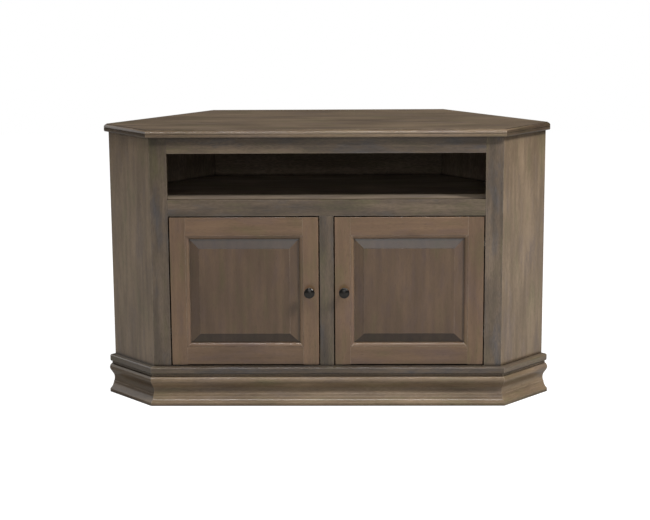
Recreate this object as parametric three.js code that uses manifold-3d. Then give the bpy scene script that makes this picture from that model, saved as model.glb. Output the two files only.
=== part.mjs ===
import * as THREE from 'three';
import { mergeVertices } from 'three/addons/utils/BufferGeometryUtils.js';
import Module from 'manifold-3d';

const wasm = await Module();
wasm.setup();

// A corner television cabinet in stained maple: millimetres, +Z up, front towards -Y.
// Its plan is a wide front, two short sides and two back walls at 45 degrees, and a clipped rear.
// The right half is drawn, and the left half is its mirror image.

// Overall sizes
const overallHeight = 792;
const frontWidth = 986;
const sideWidth = 184.5;
const rearWidth = 694;
const boardThickness = 19;
const backThickness = 6;
const jointGap = 0.2;
const cutOverrun = 2;

// Top and its moulded edge
const topThickness = 22;
const topOverhang = 16;
const topStepHeight = 1.6;
const topStepWidth = 1;
const topRoundRadius = 8.4;
const topQuirkDepth = 1.2;
const topQuirkHeight = 1.6;
const topBandInset = 0.4;
const topEaseRadius = 2;

// Face frame
const stileWidth = 48.5;
const centerStileWidth = 39;
const railWidth = 46;
const bottomRailWidth = 50;
const bayHeight = 131.5;

// Base moulding
const baseHeight = 91.5;
const baseProjection = 22.5;
const neckProjection = 12.2;
const neckHeight = 6.3;
const torusRadius = 11.2;
const torusProjection = 21.7;
const coveRadius = 23.7;
const coveDrop = 34;
const coveProjection = 5.4;
const beadDrop = 9.5;
const beadProjection = 8.4;
const filletHeight = 9.2;
const filletEase = 1.2;
const flareControlProjection = 10.2;
const flareHeightShare = 0.353;
const torusTopAngle = THREE.MathUtils.degToRad(82);
const torusEndAngle = THREE.MathUtils.degToRad(-39);
const coveStartAngle = THREE.MathUtils.degToRad(141);
const coveEndAngle = THREE.MathUtils.degToRad(202);

// Cap strip on the base moulding
const capHeight = 20.3;
const capReveal = 0.5;
const capProjection = 19;
const capUpperRadius = 4.6;
const capLowerRadius = 4;

// Inner construction
const sideLip = 9;
const rearPostLeg = 42;
const hingeCleatDepth = 66;
const shelfCleatGap = 5;
const shelfPlay = 2;
const shelfPinRadius = 2.5;
const shelfPinDepth = 10;
const shelfPinReach = 9;
const shelfPinPad = 8;
const shelfPinPlay = 0.2;
const sidePinPlace = 142;

// Doors
const doorGap = 3.2;
const doorEaseRadius = 1.6;
const doorRailWidth = 63.5;
const stickingWidth = 11;
const stickingStep = 1.2;
const stickingInset = 0.8;
const stickingLip = 0.8;
const grooveFront = 8.4;
const grooveWidth = 6.2;
const grooveDepth = 10;
const tonguePlay = 0.5;
const panelPlay = 2;
const panelRim = 1;
const bevelWidth = 25.5;
const bevelTop = 1.6;
const fieldFront = 0.6;

// Knobs and their screws
const knobInset = 26.3;
const knobLength = 27;
const knobRadius = 15;
const knobCapDepth = 11;
const knobNeckRadius = 5.6;
const knobFootRadius = 8.5;
const knobFootLength = 2.6;
const knobBoreDepth = 14;
const screwRadius = 2;
const screwPlay = 0.25;
const screwHeadRadius = 4.6;
const screwHeadLength = 2.6;

// Concealed hinges: places are measured from the door's hinge edge and from its front
const hingeInset = 85;
const doorAxisInset = 8;
const doorAxisDepth = 6.5;
const doorSwing = THREE.MathUtils.degToRad(95);
const cupInset = 22.5;
const cupRadius = 17.5;
const cupWall = 1.2;
const cupFloorGap = 1.4;
const cupStileMargin = 4;
const cupRimWidth = 2;
const cupPlay = 0.3;
const earWidth = 15;
const earSpan = 58;
const earCornerRadius = 5;
const earOffset = 5;
const armCupGap = 4.2;
const armPivotSink = 6.2;
const linkPinArm = 13;
const linkHalfWidth = 4;
const linkThickness = 4.2;
const linkEyeRadius = 2.6;
const linkSideGap = 0.3;
const pivotPinRadius = 1.3;
const pivotPlay = 0.15;
const linkPinRadius = 1.4;
const armCheek = 2;
const armThickness = 3;
const armBackGap = 3.5;
const armHeight = 7;
const armLength = 46;
const armSlotPlay = 0.6;
const plateThickness = 3.3;
const plateStart = 30;
const plateLength = 42;
const plateHalfWidth = 9;
const plateWingHalfSpan = 21;
const plateWingStart = 12;
const plateWingLength = 18;

// Smoothness of the round work
const arcSteps = 6;
const coveSteps = 8;
const knobSteps = 24;
const cupSteps = 28;
const pinSteps = 12;

// Heights worked out from the sizes above
const bodyHeight = overallHeight - topThickness;
const bayTop = bodyHeight - railWidth;
const shelfTop = bayTop - bayHeight;
const doorOpeningTop = shelfTop - railWidth;
const capBottom = baseHeight + jointGap;
const doorOpeningBottom = capBottom + capHeight + capReveal;
const doorOpeningHeight = doorOpeningTop - doorOpeningBottom;
const caseBottom = doorOpeningBottom - bottomRailWidth;
const doorBottom = doorOpeningBottom + doorGap;
const doorHeight = doorOpeningHeight - 2 * doorGap;
const shelfBottom = shelfTop - boardThickness;
const looseShelfBottom = (doorOpeningBottom + shelfBottom - boardThickness) / 2;

// Plan of the right half
const halfFront = frontWidth / 2;
const openingHalf = halfFront - stileWidth;
const diagonal = Math.PI / 4;
const sideRun = sideWidth * Math.cos(diagonal);
const frontCorner = new THREE.Vector2(halfFront, 0);
const outerCorner = new THREE.Vector2(halfFront + sideRun, sideRun);
const backRun = outerCorner.x - rearWidth / 2;
const rearCorner = new THREE.Vector2(rearWidth / 2, sideRun + backRun);
const middleDepth = (rearCorner.y - knobLength - jointGap) / 2;
const doorOuter = openingHalf - doorGap;
const doorInner = centerStileWidth / 2 + doorGap;
const doorWidth = doorOuter - doorInner;
const behindFrame = boardThickness + jointGap;

// The hinge cup sets the width of the door's stiles, and the arm's pivot the depth of the cup
const doorStileWidth = cupInset + cupRadius + cupStileMargin + stickingWidth;
const cupDepth = armPivotSink + linkEyeRadius + cupFloorGap + cupWall;
const armPivotDepth = boardThickness - armPivotSink;
const armPivotInset = cupInset + cupRadius - cupWall - armCupGap - linkEyeRadius;

// The link's pin in the cup: its arm about the door's axis points half a swing past the hinge arm's pivot
const pivotAngle = Math.atan2(armPivotDepth - doorAxisDepth, armPivotInset - doorAxisInset);
const linkPinAngle = pivotAngle + doorSwing / 2;
const linkPinInset = doorAxisInset + linkPinArm * Math.cos(linkPinAngle);
const linkPinDepth = doorAxisDepth + linkPinArm * Math.sin(linkPinAngle);

// A line through a point, square to an outward angle, moved inwards by an inset
function lineAt(angle, point, inset = 0) {
  const x = Math.cos(angle);
  const y = Math.sin(angle);
  return { x, y, distance: x * point.x + y * point.y - inset };
}

function meet(a, b) {
  const turn = a.x * b.y - a.y * b.x;
  const x = (a.distance * b.y - b.distance * a.y) / turn;
  const y = (a.x * b.distance - b.x * a.distance) / turn;
  return new THREE.Vector2(x, y);
}

const frontAngle = -2 * diagonal;
const rearAngle = 2 * diagonal;
const frontLine = (inset) => lineAt(frontAngle, frontCorner, inset);
const sideLine = (inset) => lineAt(-diagonal, outerCorner, inset);
const backLine = (inset) => lineAt(diagonal, outerCorner, inset);
const rearLine = (inset) => lineAt(rearAngle, rearCorner, inset);
const frontMitre = (inset) => lineAt(diagonal / 2, frontCorner, inset);
const rearMitre = (inset) => lineAt(-diagonal / 2, rearCorner, inset);

// Materials
function wood(color, roughness) {
  return new THREE.MeshStandardMaterial({ color, roughness, metalness: 0 });
}

function metal(color, roughness) {
  return new THREE.MeshStandardMaterial({ color, roughness, metalness: 1 });
}

const caseWood = () => wood(0x6f6558, 0.5);
const frameWood = () => wood(0x544c43, 0.5);
const doorWood = () => wood(0x665443, 0.48);
const innerWood = () => wood(0x5c5347, 0.6);
const backWood = () => wood(0x51493f, 0.7);
const bronze = () => metal(0x2a211b, 0.42);
const nickel = () => metal(0xb8b6b0, 0.3);

// Solids
function tidy(geometry) {
  geometry.deleteAttribute('normal');
  geometry.deleteAttribute('uv');
  const merged = mergeVertices(geometry);
  const order = merged.index.array;
  const kept = [];
  for (let at = 0; at < order.length; at += 3) {
    const [a, b, c] = [order[at], order[at + 1], order[at + 2]];
    if (a !== b && b !== c && c !== a) kept.push(a, b, c);
  }
  merged.setIndex(kept);
  return merged;
}

function toSolid(geometry) {
  const mesh = tidy(geometry);
  const vertProperties = new Float32Array(mesh.attributes.position.array);
  const triVerts = new Uint32Array(mesh.index.array);
  return new wasm.Manifold(new wasm.Mesh({ numProp: 3, vertProperties, triVerts }));
}

function toGeometry(shaped) {
  const mesh = shaped.getMesh();
  const geometry = new THREE.BufferGeometry();
  geometry.setAttribute('position', new THREE.BufferAttribute(mesh.vertProperties, 3));
  geometry.setIndex(new THREE.BufferAttribute(mesh.triVerts, 1));
  return geometry;
}

function joined(first, ...others) {
  return toGeometry(others.reduce((whole, next) => whole.add(toSolid(next)), toSolid(first)));
}

function cut(first, ...tools) {
  return toGeometry(tools.reduce((whole, tool) => whole.subtract(toSolid(tool)), toSolid(first)));
}

function common(first, ...others) {
  return toGeometry(others.reduce((whole, next) => whole.intersect(toSolid(next)), toSolid(first)));
}

function mirrored(geometry) {
  const other = geometry.index ? geometry.clone() : tidy(geometry.clone());
  other.scale(-1, 1, 1);
  other.setIndex([...other.index.array].reverse());
  return other;
}

// Outlines and extrusions
function outline(shape, steps = arcSteps) {
  const points = shape.getPoints(steps);
  if (points[0].equals(points[points.length - 1])) points.pop();
  return points;
}

function bothHalves(points) {
  const left = points.map(({ x, y }) => new THREE.Vector2(-x, y));
  return [...points, ...left.reverse()];
}

function upright(points, height) {
  return new THREE.ExtrudeGeometry(new THREE.Shape(points), { depth: height, bevelEnabled: false });
}

// Points hold Y and Z, and the run goes along X
function alongX(points, from, length) {
  const turn = new THREE.Matrix4().makeBasis(
    new THREE.Vector3(0, 1, 0),
    new THREE.Vector3(0, 0, 1),
    new THREE.Vector3(1, 0, 0),
  );
  return upright(points, length).applyMatrix4(turn).translate(from, 0, 0);
}

// Points hold the projection from a wall's face and the height, and the run goes along the wall
function alongWall(points, wall, length) {
  const out = new THREE.Vector3(wall.x, wall.y, 0);
  const up = new THREE.Vector3(0, 0, 1);
  const run = new THREE.Vector3().crossVectors(out, up);
  const turn = new THREE.Matrix4().makeBasis(out, up, run);
  const place = out.clone().multiplyScalar(wall.distance);
  return upright(points, length)
    .translate(0, 0, -length / 2)
    .applyMatrix4(turn)
    .translate(place.x, place.y, 0);
}

function box(lowX, lowY, lowZ, highX, highY, highZ) {
  const geometry = new THREE.BoxGeometry(highX - lowX, highY - lowY, highZ - lowZ);
  return geometry.translate((lowX + highX) / 2, (lowY + highY) / 2, (lowZ + highZ) / 2);
}

function rod(radius, from, to, steps = pinSteps) {
  const geometry = new THREE.CylinderGeometry(radius, radius, to - from, steps);
  return geometry.translate(0, (from + to) / 2, 0);
}

function turned(points, steps) {
  return new THREE.LatheGeometry(points.map(([radius, y]) => new THREE.Vector2(radius, y)), steps);
}

// Scene
const cabinet = new THREE.Group();
const shifted = new THREE.Group();
shifted.position.y = -middleDepth;
cabinet.add(shifted);

function add(name, geometry, material, x = 0, y = 0, z = 0) {
  const mesh = new THREE.Mesh(geometry, material);
  mesh.name = name;
  mesh.position.set(x, y, z);
  shifted.add(mesh);
  return mesh;
}

function addPair(name, geometry, material, x = 0, y = 0, z = 0) {
  const other = mirrored(geometry);
  return [
    add(`right_${name}`, geometry, material(), x, y, z),
    add(`left_${name}`, other, material(), -x, y, z),
  ];
}

// Top: the outline cut by one edge profile along the front and each side
function topEdgeProfile() {
  const nose = topOverhang;
  const roundBottom = topThickness - topStepHeight - topRoundRadius;
  const quirkBottom = roundBottom - topQuirkHeight;
  const band = nose - topBandInset;
  const reach = -(rearCorner.y + outerCorner.x);
  const shape = new THREE.Shape();
  shape.moveTo(reach, 0);
  shape.lineTo(band - topEaseRadius, 0);
  shape.absarc(band - topEaseRadius, topEaseRadius, topEaseRadius, -Math.PI / 2, 0);
  shape.lineTo(band, quirkBottom - topBandInset);
  shape.lineTo(nose - topQuirkDepth, quirkBottom);
  shape.lineTo(nose - topQuirkDepth, roundBottom - topBandInset);
  shape.lineTo(nose, roundBottom);
  shape.absarc(nose - topRoundRadius, roundBottom, topRoundRadius, 0, Math.PI / 2);
  shape.lineTo(nose - topRoundRadius - topStepWidth, roundBottom + topRoundRadius);
  shape.lineTo(nose - topRoundRadius - topStepWidth, topThickness);
  shape.lineTo(reach, topThickness);
  return outline(shape);
}

function topPanel() {
  const margin = -(topOverhang + cutOverrun);
  const right = [
    meet(frontLine(margin), sideLine(margin)),
    meet(sideLine(margin), backLine(0)),
    meet(backLine(0), rearLine(0)),
  ];
  const edge = topEdgeProfile();
  const span = 2 * (outerCorner.x + rearCorner.y);
  const rightEdge = alongWall(edge, sideLine(0), span);
  return common(
    upright(bothHalves(right), topThickness),
    alongWall(edge, frontLine(0), span),
    rightEdge,
    mirrored(rightEdge),
  );
}

// Carcass boards
function sidePanel(height) {
  const panel = upright([
    meet(sideLine(0), frontMitre(-jointGap / 2)),
    meet(sideLine(0), backLine(0)),
    meet(sideLine(sideLip), backLine(0)),
    meet(sideLine(sideLip), backLine(backThickness + jointGap)),
    meet(sideLine(boardThickness), backLine(backThickness + jointGap)),
    meet(sideLine(boardThickness), frontMitre(-jointGap / 2)),
  ], height);
  const hole = rod(shelfPinRadius + shelfPinPlay, -cutOverrun, shelfPinDepth + shelfPinPlay);
  hole.rotateZ(-diagonal - Math.PI / 2);
  const place = sidePinPoint();
  hole.translate(place.x, place.y, pinHeight());
  return cut(panel, hole);
}

function backPanel(height) {
  return upright([
    meet(sideLine(sideLip + jointGap), backLine(0)),
    meet(backLine(0), rearMitre(-jointGap / 2)),
    meet(backLine(backThickness), rearMitre(-jointGap / 2)),
    meet(sideLine(sideLip + jointGap), backLine(backThickness)),
  ], height);
}

function rearPanel(height) {
  const right = [
    meet(rearLine(backThickness), rearMitre(jointGap / 2)),
    meet(rearLine(0), rearMitre(jointGap / 2)),
  ];
  return upright(bothHalves(right), height);
}

// Post inside each rear bend, up to the media shelf: its legs lie on the back panel and the rear panel
const postInset = backThickness + jointGap;
const postFace = postInset + boardThickness;
const postBend = () => meet(backLine(postInset), rearLine(postInset));
const postBackEnd = (inset) => lineAt(-diagonal, postBend(), -rearPostLeg - inset);
const postRearEnd = (inset) => lineAt(Math.PI, postBend(), -rearPostLeg - inset);

function rearPost(height) {
  const post = upright([
    postBend(),
    meet(backLine(postInset), postBackEnd(0)),
    meet(postBackEnd(0), backLine(postFace)),
    meet(backLine(postFace), rearLine(postFace)),
    meet(rearLine(postFace), postRearEnd(0)),
    meet(postRearEnd(0), rearLine(postInset)),
  ], height);
  const hole = rod(shelfPinRadius + shelfPinPlay, -cutOverrun, shelfPinDepth + shelfPinPlay);
  const place = rearPinPoint();
  hole.translate(place.x, place.y, pinHeight());
  return cut(post, hole);
}

// Shelves fit the inside of the carcass, and those below the bay are notched round the rear posts
function shelfOutline(front, play, rearPoints) {
  const side = sideLine(boardThickness + play);
  const back = backLine(backThickness + play);
  const rear = rearLine(backThickness + play);
  return bothHalves([
    meet(frontLine(front), side),
    meet(side, back),
    ...rearPoints(back, rear, play),
  ]);
}

const plainBend = (back, rear) => [meet(back, rear)];

function postNotch(back, rear, play) {
  const notchBack = backLine(postFace + play);
  const notchRear = rearLine(postFace + play);
  return [
    meet(back, postBackEnd(play)),
    meet(postBackEnd(play), notchBack),
    meet(notchBack, notchRear),
    meet(notchRear, postRearEnd(play)),
    meet(postRearEnd(play), rear),
  ];
}

function hingeCleat() {
  const low = new THREE.Vector2(openingHalf, behindFrame);
  const high = low.clone().add(new THREE.Vector2(boardThickness, hingeCleatDepth));
  const height = shelfBottom - doorOpeningBottom - 2 * jointGap;
  return box(low.x, low.y, 0, high.x, high.y, height);
}

// Shelf pins
function sidePinPoint() {
  const start = meet(sideLine(boardThickness), frontLine(0));
  const step = sidePinPlace * Math.cos(diagonal);
  return new THREE.Vector2(start.x + step, start.y + step);
}

function rearPinPoint() {
  const end = meet(rearLine(postFace), postRearEnd(0));
  return end.add(meet(rearLine(postFace), backLine(postFace))).divideScalar(2);
}

function pinHeight() {
  return looseShelfBottom - jointGap - shelfPinRadius;
}

function shelfPin() {
  const half = shelfPinPad / 2;
  const pad = box(-half, -shelfPinReach, 0, half, -jointGap, shelfPinRadius);
  return joined(rod(shelfPinRadius, -shelfPinReach, shelfPinDepth), pad);
}

// Face frame
function outerStile() {
  return upright([
    new THREE.Vector2(openingHalf, 0),
    meet(frontLine(0), frontMitre(jointGap / 2)),
    meet(frontLine(boardThickness), frontMitre(jointGap / 2)),
    new THREE.Vector2(openingHalf, boardThickness),
  ], bodyHeight - jointGap);
}

function frameRail(width) {
  const half = openingHalf - jointGap;
  return box(-half, 0, 0, half, boardThickness, width);
}

// Base moulding: fillet, flared foot, small bead, cove, torus and neck
function baseProfile() {
  const torusCenter = torusProjection - torusRadius;
  const torusCenterHeight = baseHeight - neckHeight - torusRadius;
  const coveCenter = coveProjection + coveRadius;
  const coveCenterHeight = torusCenterHeight - coveDrop;
  const beadHeight = coveCenterHeight - beadDrop;
  const flareBottom = filletHeight + filletEase;
  const flareControlHeight = flareBottom + flareHeightShare * (beadHeight - flareBottom);
  const shape = new THREE.Shape();
  shape.moveTo(jointGap, 0);
  shape.lineTo(baseProjection, 0);
  shape.lineTo(baseProjection, filletHeight);
  shape.lineTo(baseProjection - filletEase, flareBottom);
  shape.quadraticCurveTo(flareControlProjection, flareControlHeight, beadProjection, beadHeight);
  const end = new THREE.Vector2(Math.cos(coveEndAngle), Math.sin(coveEndAngle));
  shape.lineTo(coveCenter + coveRadius * end.x, coveCenterHeight + coveRadius * end.y);
  shape.absarc(coveCenter, coveCenterHeight, coveRadius, coveEndAngle, coveStartAngle, true);
  shape.absarc(torusCenter, torusCenterHeight, torusRadius, torusEndAngle, torusTopAngle);
  shape.lineTo(neckProjection, torusCenterHeight + torusRadius);
  shape.lineTo(neckProjection, baseHeight);
  shape.lineTo(jointGap, baseHeight);
  return outline(shape, coveSteps);
}

function capProfile() {
  const lower = capProjection - capLowerRadius;
  const upper = capProjection - capUpperRadius;
  const shape = new THREE.Shape();
  shape.moveTo(jointGap, 0);
  shape.lineTo(lower, 0);
  shape.absarc(lower, capLowerRadius, capLowerRadius, -Math.PI / 2, 0);
  shape.absarc(upper, capHeight - capUpperRadius, capUpperRadius, 0, Math.PI / 2);
  shape.lineTo(jointGap, capHeight);
  return outline(shape);
}

// A run of moulding is its profile along one wall, kept between the mitres of the corners
function frontRun(profile, height) {
  const reach = -(baseProjection + cutOverrun);
  const right = [
    meet(frontLine(0), frontMitre(jointGap / 2)),
    meet(frontLine(reach), frontMitre(jointGap / 2)),
  ];
  return common(upright(bothHalves(right), height), alongWall(profile, frontLine(0), 2 * frontWidth));
}

function sideMouldingRun(profile, height) {
  const reach = -(baseProjection + cutOverrun);
  const plan = [
    meet(sideLine(0), frontMitre(-jointGap / 2)),
    meet(sideLine(reach), frontMitre(-jointGap / 2)),
    meet(sideLine(reach), backLine(0)),
    meet(sideLine(0), backLine(0)),
  ];
  return common(upright(plan, height), alongWall(profile, sideLine(0), 2 * frontWidth));
}

// Door frame section: width from the outer edge, and depth from the front
function doorSection(flat, grooved) {
  const inner = flat + stickingWidth;
  const grooveBack = grooveFront + grooveWidth;
  const start = flat + stickingInset;
  const roundBottom = grooveFront - stickingLip;
  const shape = new THREE.Shape();
  shape.moveTo(0, boardThickness);
  shape.lineTo(0, doorEaseRadius);
  shape.absarc(doorEaseRadius, doorEaseRadius, doorEaseRadius, Math.PI, 1.5 * Math.PI);
  shape.lineTo(flat, 0);
  shape.lineTo(flat, stickingStep);
  shape.absellipse(
    start,
    roundBottom,
    inner - stickingInset - start,
    roundBottom - stickingStep,
    -Math.PI / 2,
    0,
  );
  shape.lineTo(inner, roundBottom);
  if (grooved) {
    shape.lineTo(inner, grooveFront);
    shape.lineTo(inner - grooveDepth, grooveFront);
    shape.lineTo(inner - grooveDepth, grooveBack);
    shape.lineTo(inner, grooveBack);
  }
  shape.lineTo(inner, boardThickness);
  return outline(shape);
}

const stileFlat = doorStileWidth - stickingWidth;
const railFlat = doorRailWidth - stickingWidth;
const knobHeight = doorHeight / 2;
const hingeHeights = { lower: hingeInset, upper: doorHeight - hingeInset };
const outerStilePoint = ({ x, y }) => new THREE.Vector2(doorOuter - x, y);
const innerStilePoint = ({ x, y }) => new THREE.Vector2(doorInner + x, y);

function doorHingeStile() {
  const stile = upright(doorSection(stileFlat, true).map(outerStilePoint), doorHeight);
  const pocketDepth = boardThickness - cupDepth - cupPlay;
  const pockets = Object.values(hingeHeights).map((height) => {
    const pocket = rod(cupRadius + cupPlay, pocketDepth, boardThickness + cutOverrun, cupSteps);
    return pocket.translate(doorOuter - cupInset, 0, height);
  });
  return cut(stile, ...pockets);
}

function doorMeetingStile() {
  const stile = upright(doorSection(stileFlat, true).map(innerStilePoint), doorHeight);
  const hole = rod(screwRadius + screwPlay, -cutOverrun, boardThickness + cutOverrun);
  return cut(stile, hole.translate(doorInner + knobInset, 0, knobHeight));
}

// A rail is coped over the moulded edges of both stiles, and its tongues enter their grooves
function doorRail(heightOf) {
  const section = doorSection(railFlat, true).map(({ x, y }) => new THREE.Vector2(y, heightOf(x)));
  const from = doorInner + stileFlat;
  const rail = alongX(section, from, doorWidth - 2 * stileFlat);
  const plain = doorSection(stileFlat, false);
  const copeHeight = doorHeight + 2 * cutOverrun;
  const rightCope = upright(plain.map(outerStilePoint), copeHeight);
  const leftCope = upright(plain.map(innerStilePoint), copeHeight);
  rightCope.translate(-jointGap, 0, -cutOverrun);
  leftCope.translate(jointGap, 0, -cutOverrun);
  const coped = cut(rail, rightCope, leftCope);
  const edges = [heightOf(0), heightOf(doorRailWidth - grooveDepth)].sort((a, b) => a - b);
  const inset = doorStileWidth - grooveDepth + tonguePlay;
  const root = doorStileWidth + cutOverrun;
  const front = grooveFront + jointGap;
  const back = grooveFront + grooveWidth - jointGap;
  const leftTongue = box(doorInner + inset, front, edges[0], doorInner + root, back, edges[1]);
  const rightTongue = box(doorOuter - root, front, edges[0], doorOuter - inset, back, edges[1]);
  return joined(coped, leftTongue, rightTongue);
}

// Raised panel: the same bevelled section across the width and up the height
function panelSection(frameWidth, from, to) {
  const edge = frameWidth - grooveDepth + panelPlay;
  const rim = frameWidth + panelRim;
  const field = rim + bevelWidth;
  const front = grooveFront + jointGap;
  const back = grooveFront + grooveWidth - jointGap;
  const half = [
    new THREE.Vector2(edge, back),
    new THREE.Vector2(edge, front),
    new THREE.Vector2(rim, front),
    new THREE.Vector2(field, bevelTop),
    new THREE.Vector2(field, fieldFront),
  ];
  const low = half.map(({ x, y }) => new THREE.Vector2(from + x, y));
  const high = half.map(({ x, y }) => new THREE.Vector2(to - x, y));
  return [...low, ...high.reverse()];
}

function doorPanel() {
  const across = upright(panelSection(doorStileWidth, doorInner, doorOuter), doorHeight);
  const up = panelSection(doorRailWidth, 0, doorHeight).map(({ x, y }) => new THREE.Vector2(y, x));
  return common(across, alongX(up, 0, doorOuter));
}

// Knob: foot, neck and domed cap, bored from behind for its screw
function knob() {
  const rimStart = knobLength - knobCapDepth;
  const rimHalf = knobCapDepth / 4;
  const dome = new THREE.EllipseCurve(
    0,
    -rimStart - 2 * rimHalf,
    knobRadius,
    knobCapDepth - 2 * rimHalf,
    0,
    -Math.PI / 2,
    true,
  );
  const bore = screwRadius + screwPlay;
  const points = [
    [0, -knobBoreDepth],
    [bore, -knobBoreDepth],
    [bore, 0],
    [knobFootRadius, 0],
    [knobFootRadius, -knobFootLength / 2],
    [knobNeckRadius + screwRadius, -knobFootLength],
    [knobNeckRadius, -2 * knobFootLength],
    [knobNeckRadius, -rimStart + rimHalf],
    [knobRadius - rimHalf, -rimStart],
  ];
  const domePoints = dome.getPoints(arcSteps).map(({ x, y }) => [x, y]);
  domePoints[domePoints.length - 1][0] = 0;
  return turned([...points, ...domePoints].reverse(), knobSteps);
}

function knobScrew() {
  const headStart = boardThickness + jointGap;
  const tip = screwPlay - knobBoreDepth;
  return turned([
    [0, tip],
    [screwRadius, tip],
    [screwRadius, headStart],
    [screwHeadRadius, headStart],
    [screwHeadRadius, headStart + screwHeadLength / 2],
    [screwHeadRadius / 2, headStart + screwHeadLength],
    [0, headStart + screwHeadLength],
  ], pinSteps);
}

// Hinge cup: sunk in the back of the door, with two ears and the stubs of its link pin
function hingeCup() {
  const rimBottom = boardThickness + jointGap;
  const rimTop = rimBottom + cupWall;
  const floor = boardThickness - cupDepth;
  const cavity = cupRadius - cupWall;
  const shell = turned([
    [0, floor],
    [cupRadius, floor],
    [cupRadius, rimBottom],
    [cupRadius + cupRimWidth, rimBottom],
    [cupRadius + cupRimWidth, rimTop],
    [cavity, rimTop],
    [cavity, floor + cupWall],
    [0, floor + cupWall],
  ], cupSteps);
  shell.translate(-cupInset, 0, 0);
  const hollow = rod(cavity, floor + cupWall, rimTop + cutOverrun, cupSteps);
  const ears = cut(earPlate(rimBottom), hollow.translate(-cupInset, 0, 0));
  const wallHalf = Math.sqrt(cupRadius ** 2 - (cupInset - linkPinInset) ** 2) - cupWall / 2;
  const stubStart = linkHalfWidth + linkSideGap;
  const stub = rod(linkPinRadius, stubStart, wallHalf).rotateX(Math.PI / 2);
  stub.translate(-linkPinInset, linkPinDepth, 0);
  const otherStub = rod(linkPinRadius, -wallHalf, -stubStart).rotateX(Math.PI / 2);
  otherStub.translate(-linkPinInset, linkPinDepth, 0);
  return joined(shell, ears, stub, otherStub);
}

function earPlate(from) {
  const [halfWidth, halfSpan, r] = [earWidth / 2, earSpan / 2, earCornerRadius];
  const shape = new THREE.Shape();
  shape.absarc(halfWidth - r, halfSpan - r, r, 0, Math.PI / 2);
  shape.absarc(r - halfWidth, halfSpan - r, r, Math.PI / 2, Math.PI);
  shape.absarc(r - halfWidth, r - halfSpan, r, Math.PI, 1.5 * Math.PI);
  shape.absarc(halfWidth - r, r - halfSpan, r, 1.5 * Math.PI, 2 * Math.PI);
  const plate = upright(outline(shape), cupWall).rotateX(-Math.PI / 2);
  return plate.translate(-cupInset - earOffset, from, 0);
}

// Hinge arm: a block on the mounting plate, cranked into the cup, with a fork and the link's pin
const armFloor = plateThickness + jointGap - doorGap + jointGap;

function hingeArm() {
  const halfHeight = linkHalfWidth + linkSideGap + armCheek;
  const crankFront = boardThickness + armBackGap;
  const crankBack = crankFront + armThickness;
  const leg = armPivotInset + armThickness / 2;
  const outlinePoints = [
    [armFloor, crankFront],
    [leg - armThickness, crankFront],
    [leg - armThickness, armPivotDepth],
    [leg, armPivotDepth],
    [leg, crankBack],
    [armFloor + armHeight, crankBack],
    [armFloor + armHeight, plateStart + armLength],
    [armFloor, plateStart + armLength],
  ].map(([inset, depth]) => new THREE.Vector2(-inset, depth));
  const body = upright(outlinePoints, 2 * halfHeight).translate(0, 0, -halfHeight);
  const eye = rod(linkEyeRadius, -halfHeight, halfHeight, cupSteps / 2).rotateX(Math.PI / 2);
  eye.translate(-armPivotInset, armPivotDepth, 0);
  const slotHalf = linkHalfWidth + linkSideGap;
  const reach = linkEyeRadius + armSlotPlay;
  const slot = box(
    -armPivotInset - reach,
    armPivotDepth - reach,
    -slotHalf,
    reach - armPivotInset,
    armPivotDepth + reach,
    slotHalf,
  );
  const pinHalf = halfHeight - armCheek / 2;
  const pin = rod(pivotPinRadius, -pinHalf, pinHalf).rotateX(Math.PI / 2);
  pin.translate(-armPivotInset, armPivotDepth, 0);
  return joined(cut(joined(body, eye), slot), pin);
}

function hingePlate() {
  const start = plateStart;
  const end = start + plateLength;
  const wing = start + plateWingStart;
  const points = [
    [start, -plateHalfWidth],
    [wing, -plateHalfWidth],
    [wing, -plateWingHalfSpan],
    [wing + plateWingLength, -plateWingHalfSpan],
    [wing + plateWingLength, -plateHalfWidth],
    [end, -plateHalfWidth],
    [end, plateHalfWidth],
    [wing + plateWingLength, plateHalfWidth],
    [wing + plateWingLength, plateWingHalfSpan],
    [wing, plateWingHalfSpan],
    [wing, plateHalfWidth],
    [start, plateHalfWidth],
  ].map(([depth, height]) => new THREE.Vector2(depth, height));
  return alongX(points, doorGap - jointGap - plateThickness, plateThickness);
}

// Hinge link: a bar with an eye round the arm's pin, and a bored end beside the cup's pin stubs
function hingeLink() {
  const away = new THREE.Vector2(linkPinInset - armPivotInset, linkPinDepth - armPivotDepth);
  const length = away.length();
  const half = linkThickness / 2;
  const bar = box(0, -half, -linkHalfWidth, length, half, linkHalfWidth);
  const eye = rod(linkEyeRadius, -linkHalfWidth, linkHalfWidth, cupSteps / 2).rotateX(Math.PI / 2);
  const tip = rod(half, -linkHalfWidth, linkHalfWidth, cupSteps / 2).rotateX(Math.PI / 2);
  const bore = rod(pivotPinRadius + pivotPlay, -linkHalfWidth - cutOverrun, linkHalfWidth + cutOverrun);
  const tipBore = bore.clone().rotateX(Math.PI / 2).translate(length, 0, 0);
  const link = cut(joined(bar, eye, tip.translate(length, 0, 0)), bore.rotateX(Math.PI / 2), tipBore);
  return link.rotateZ(Math.atan2(away.y, -away.x));
}

// Assembly
const caseHeight = bodyHeight - caseBottom - jointGap;
add('top_panel', topPanel(), caseWood(), 0, 0, bodyHeight);
addPair('side_panel', sidePanel(bodyHeight - jointGap), caseWood);
addPair('back_panel', backPanel(caseHeight), backWood, 0, 0, caseBottom);
add('rear_panel', rearPanel(caseHeight), backWood(), 0, 0, caseBottom);
addPair('rear_post', rearPost(shelfBottom - jointGap), innerWood);

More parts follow.
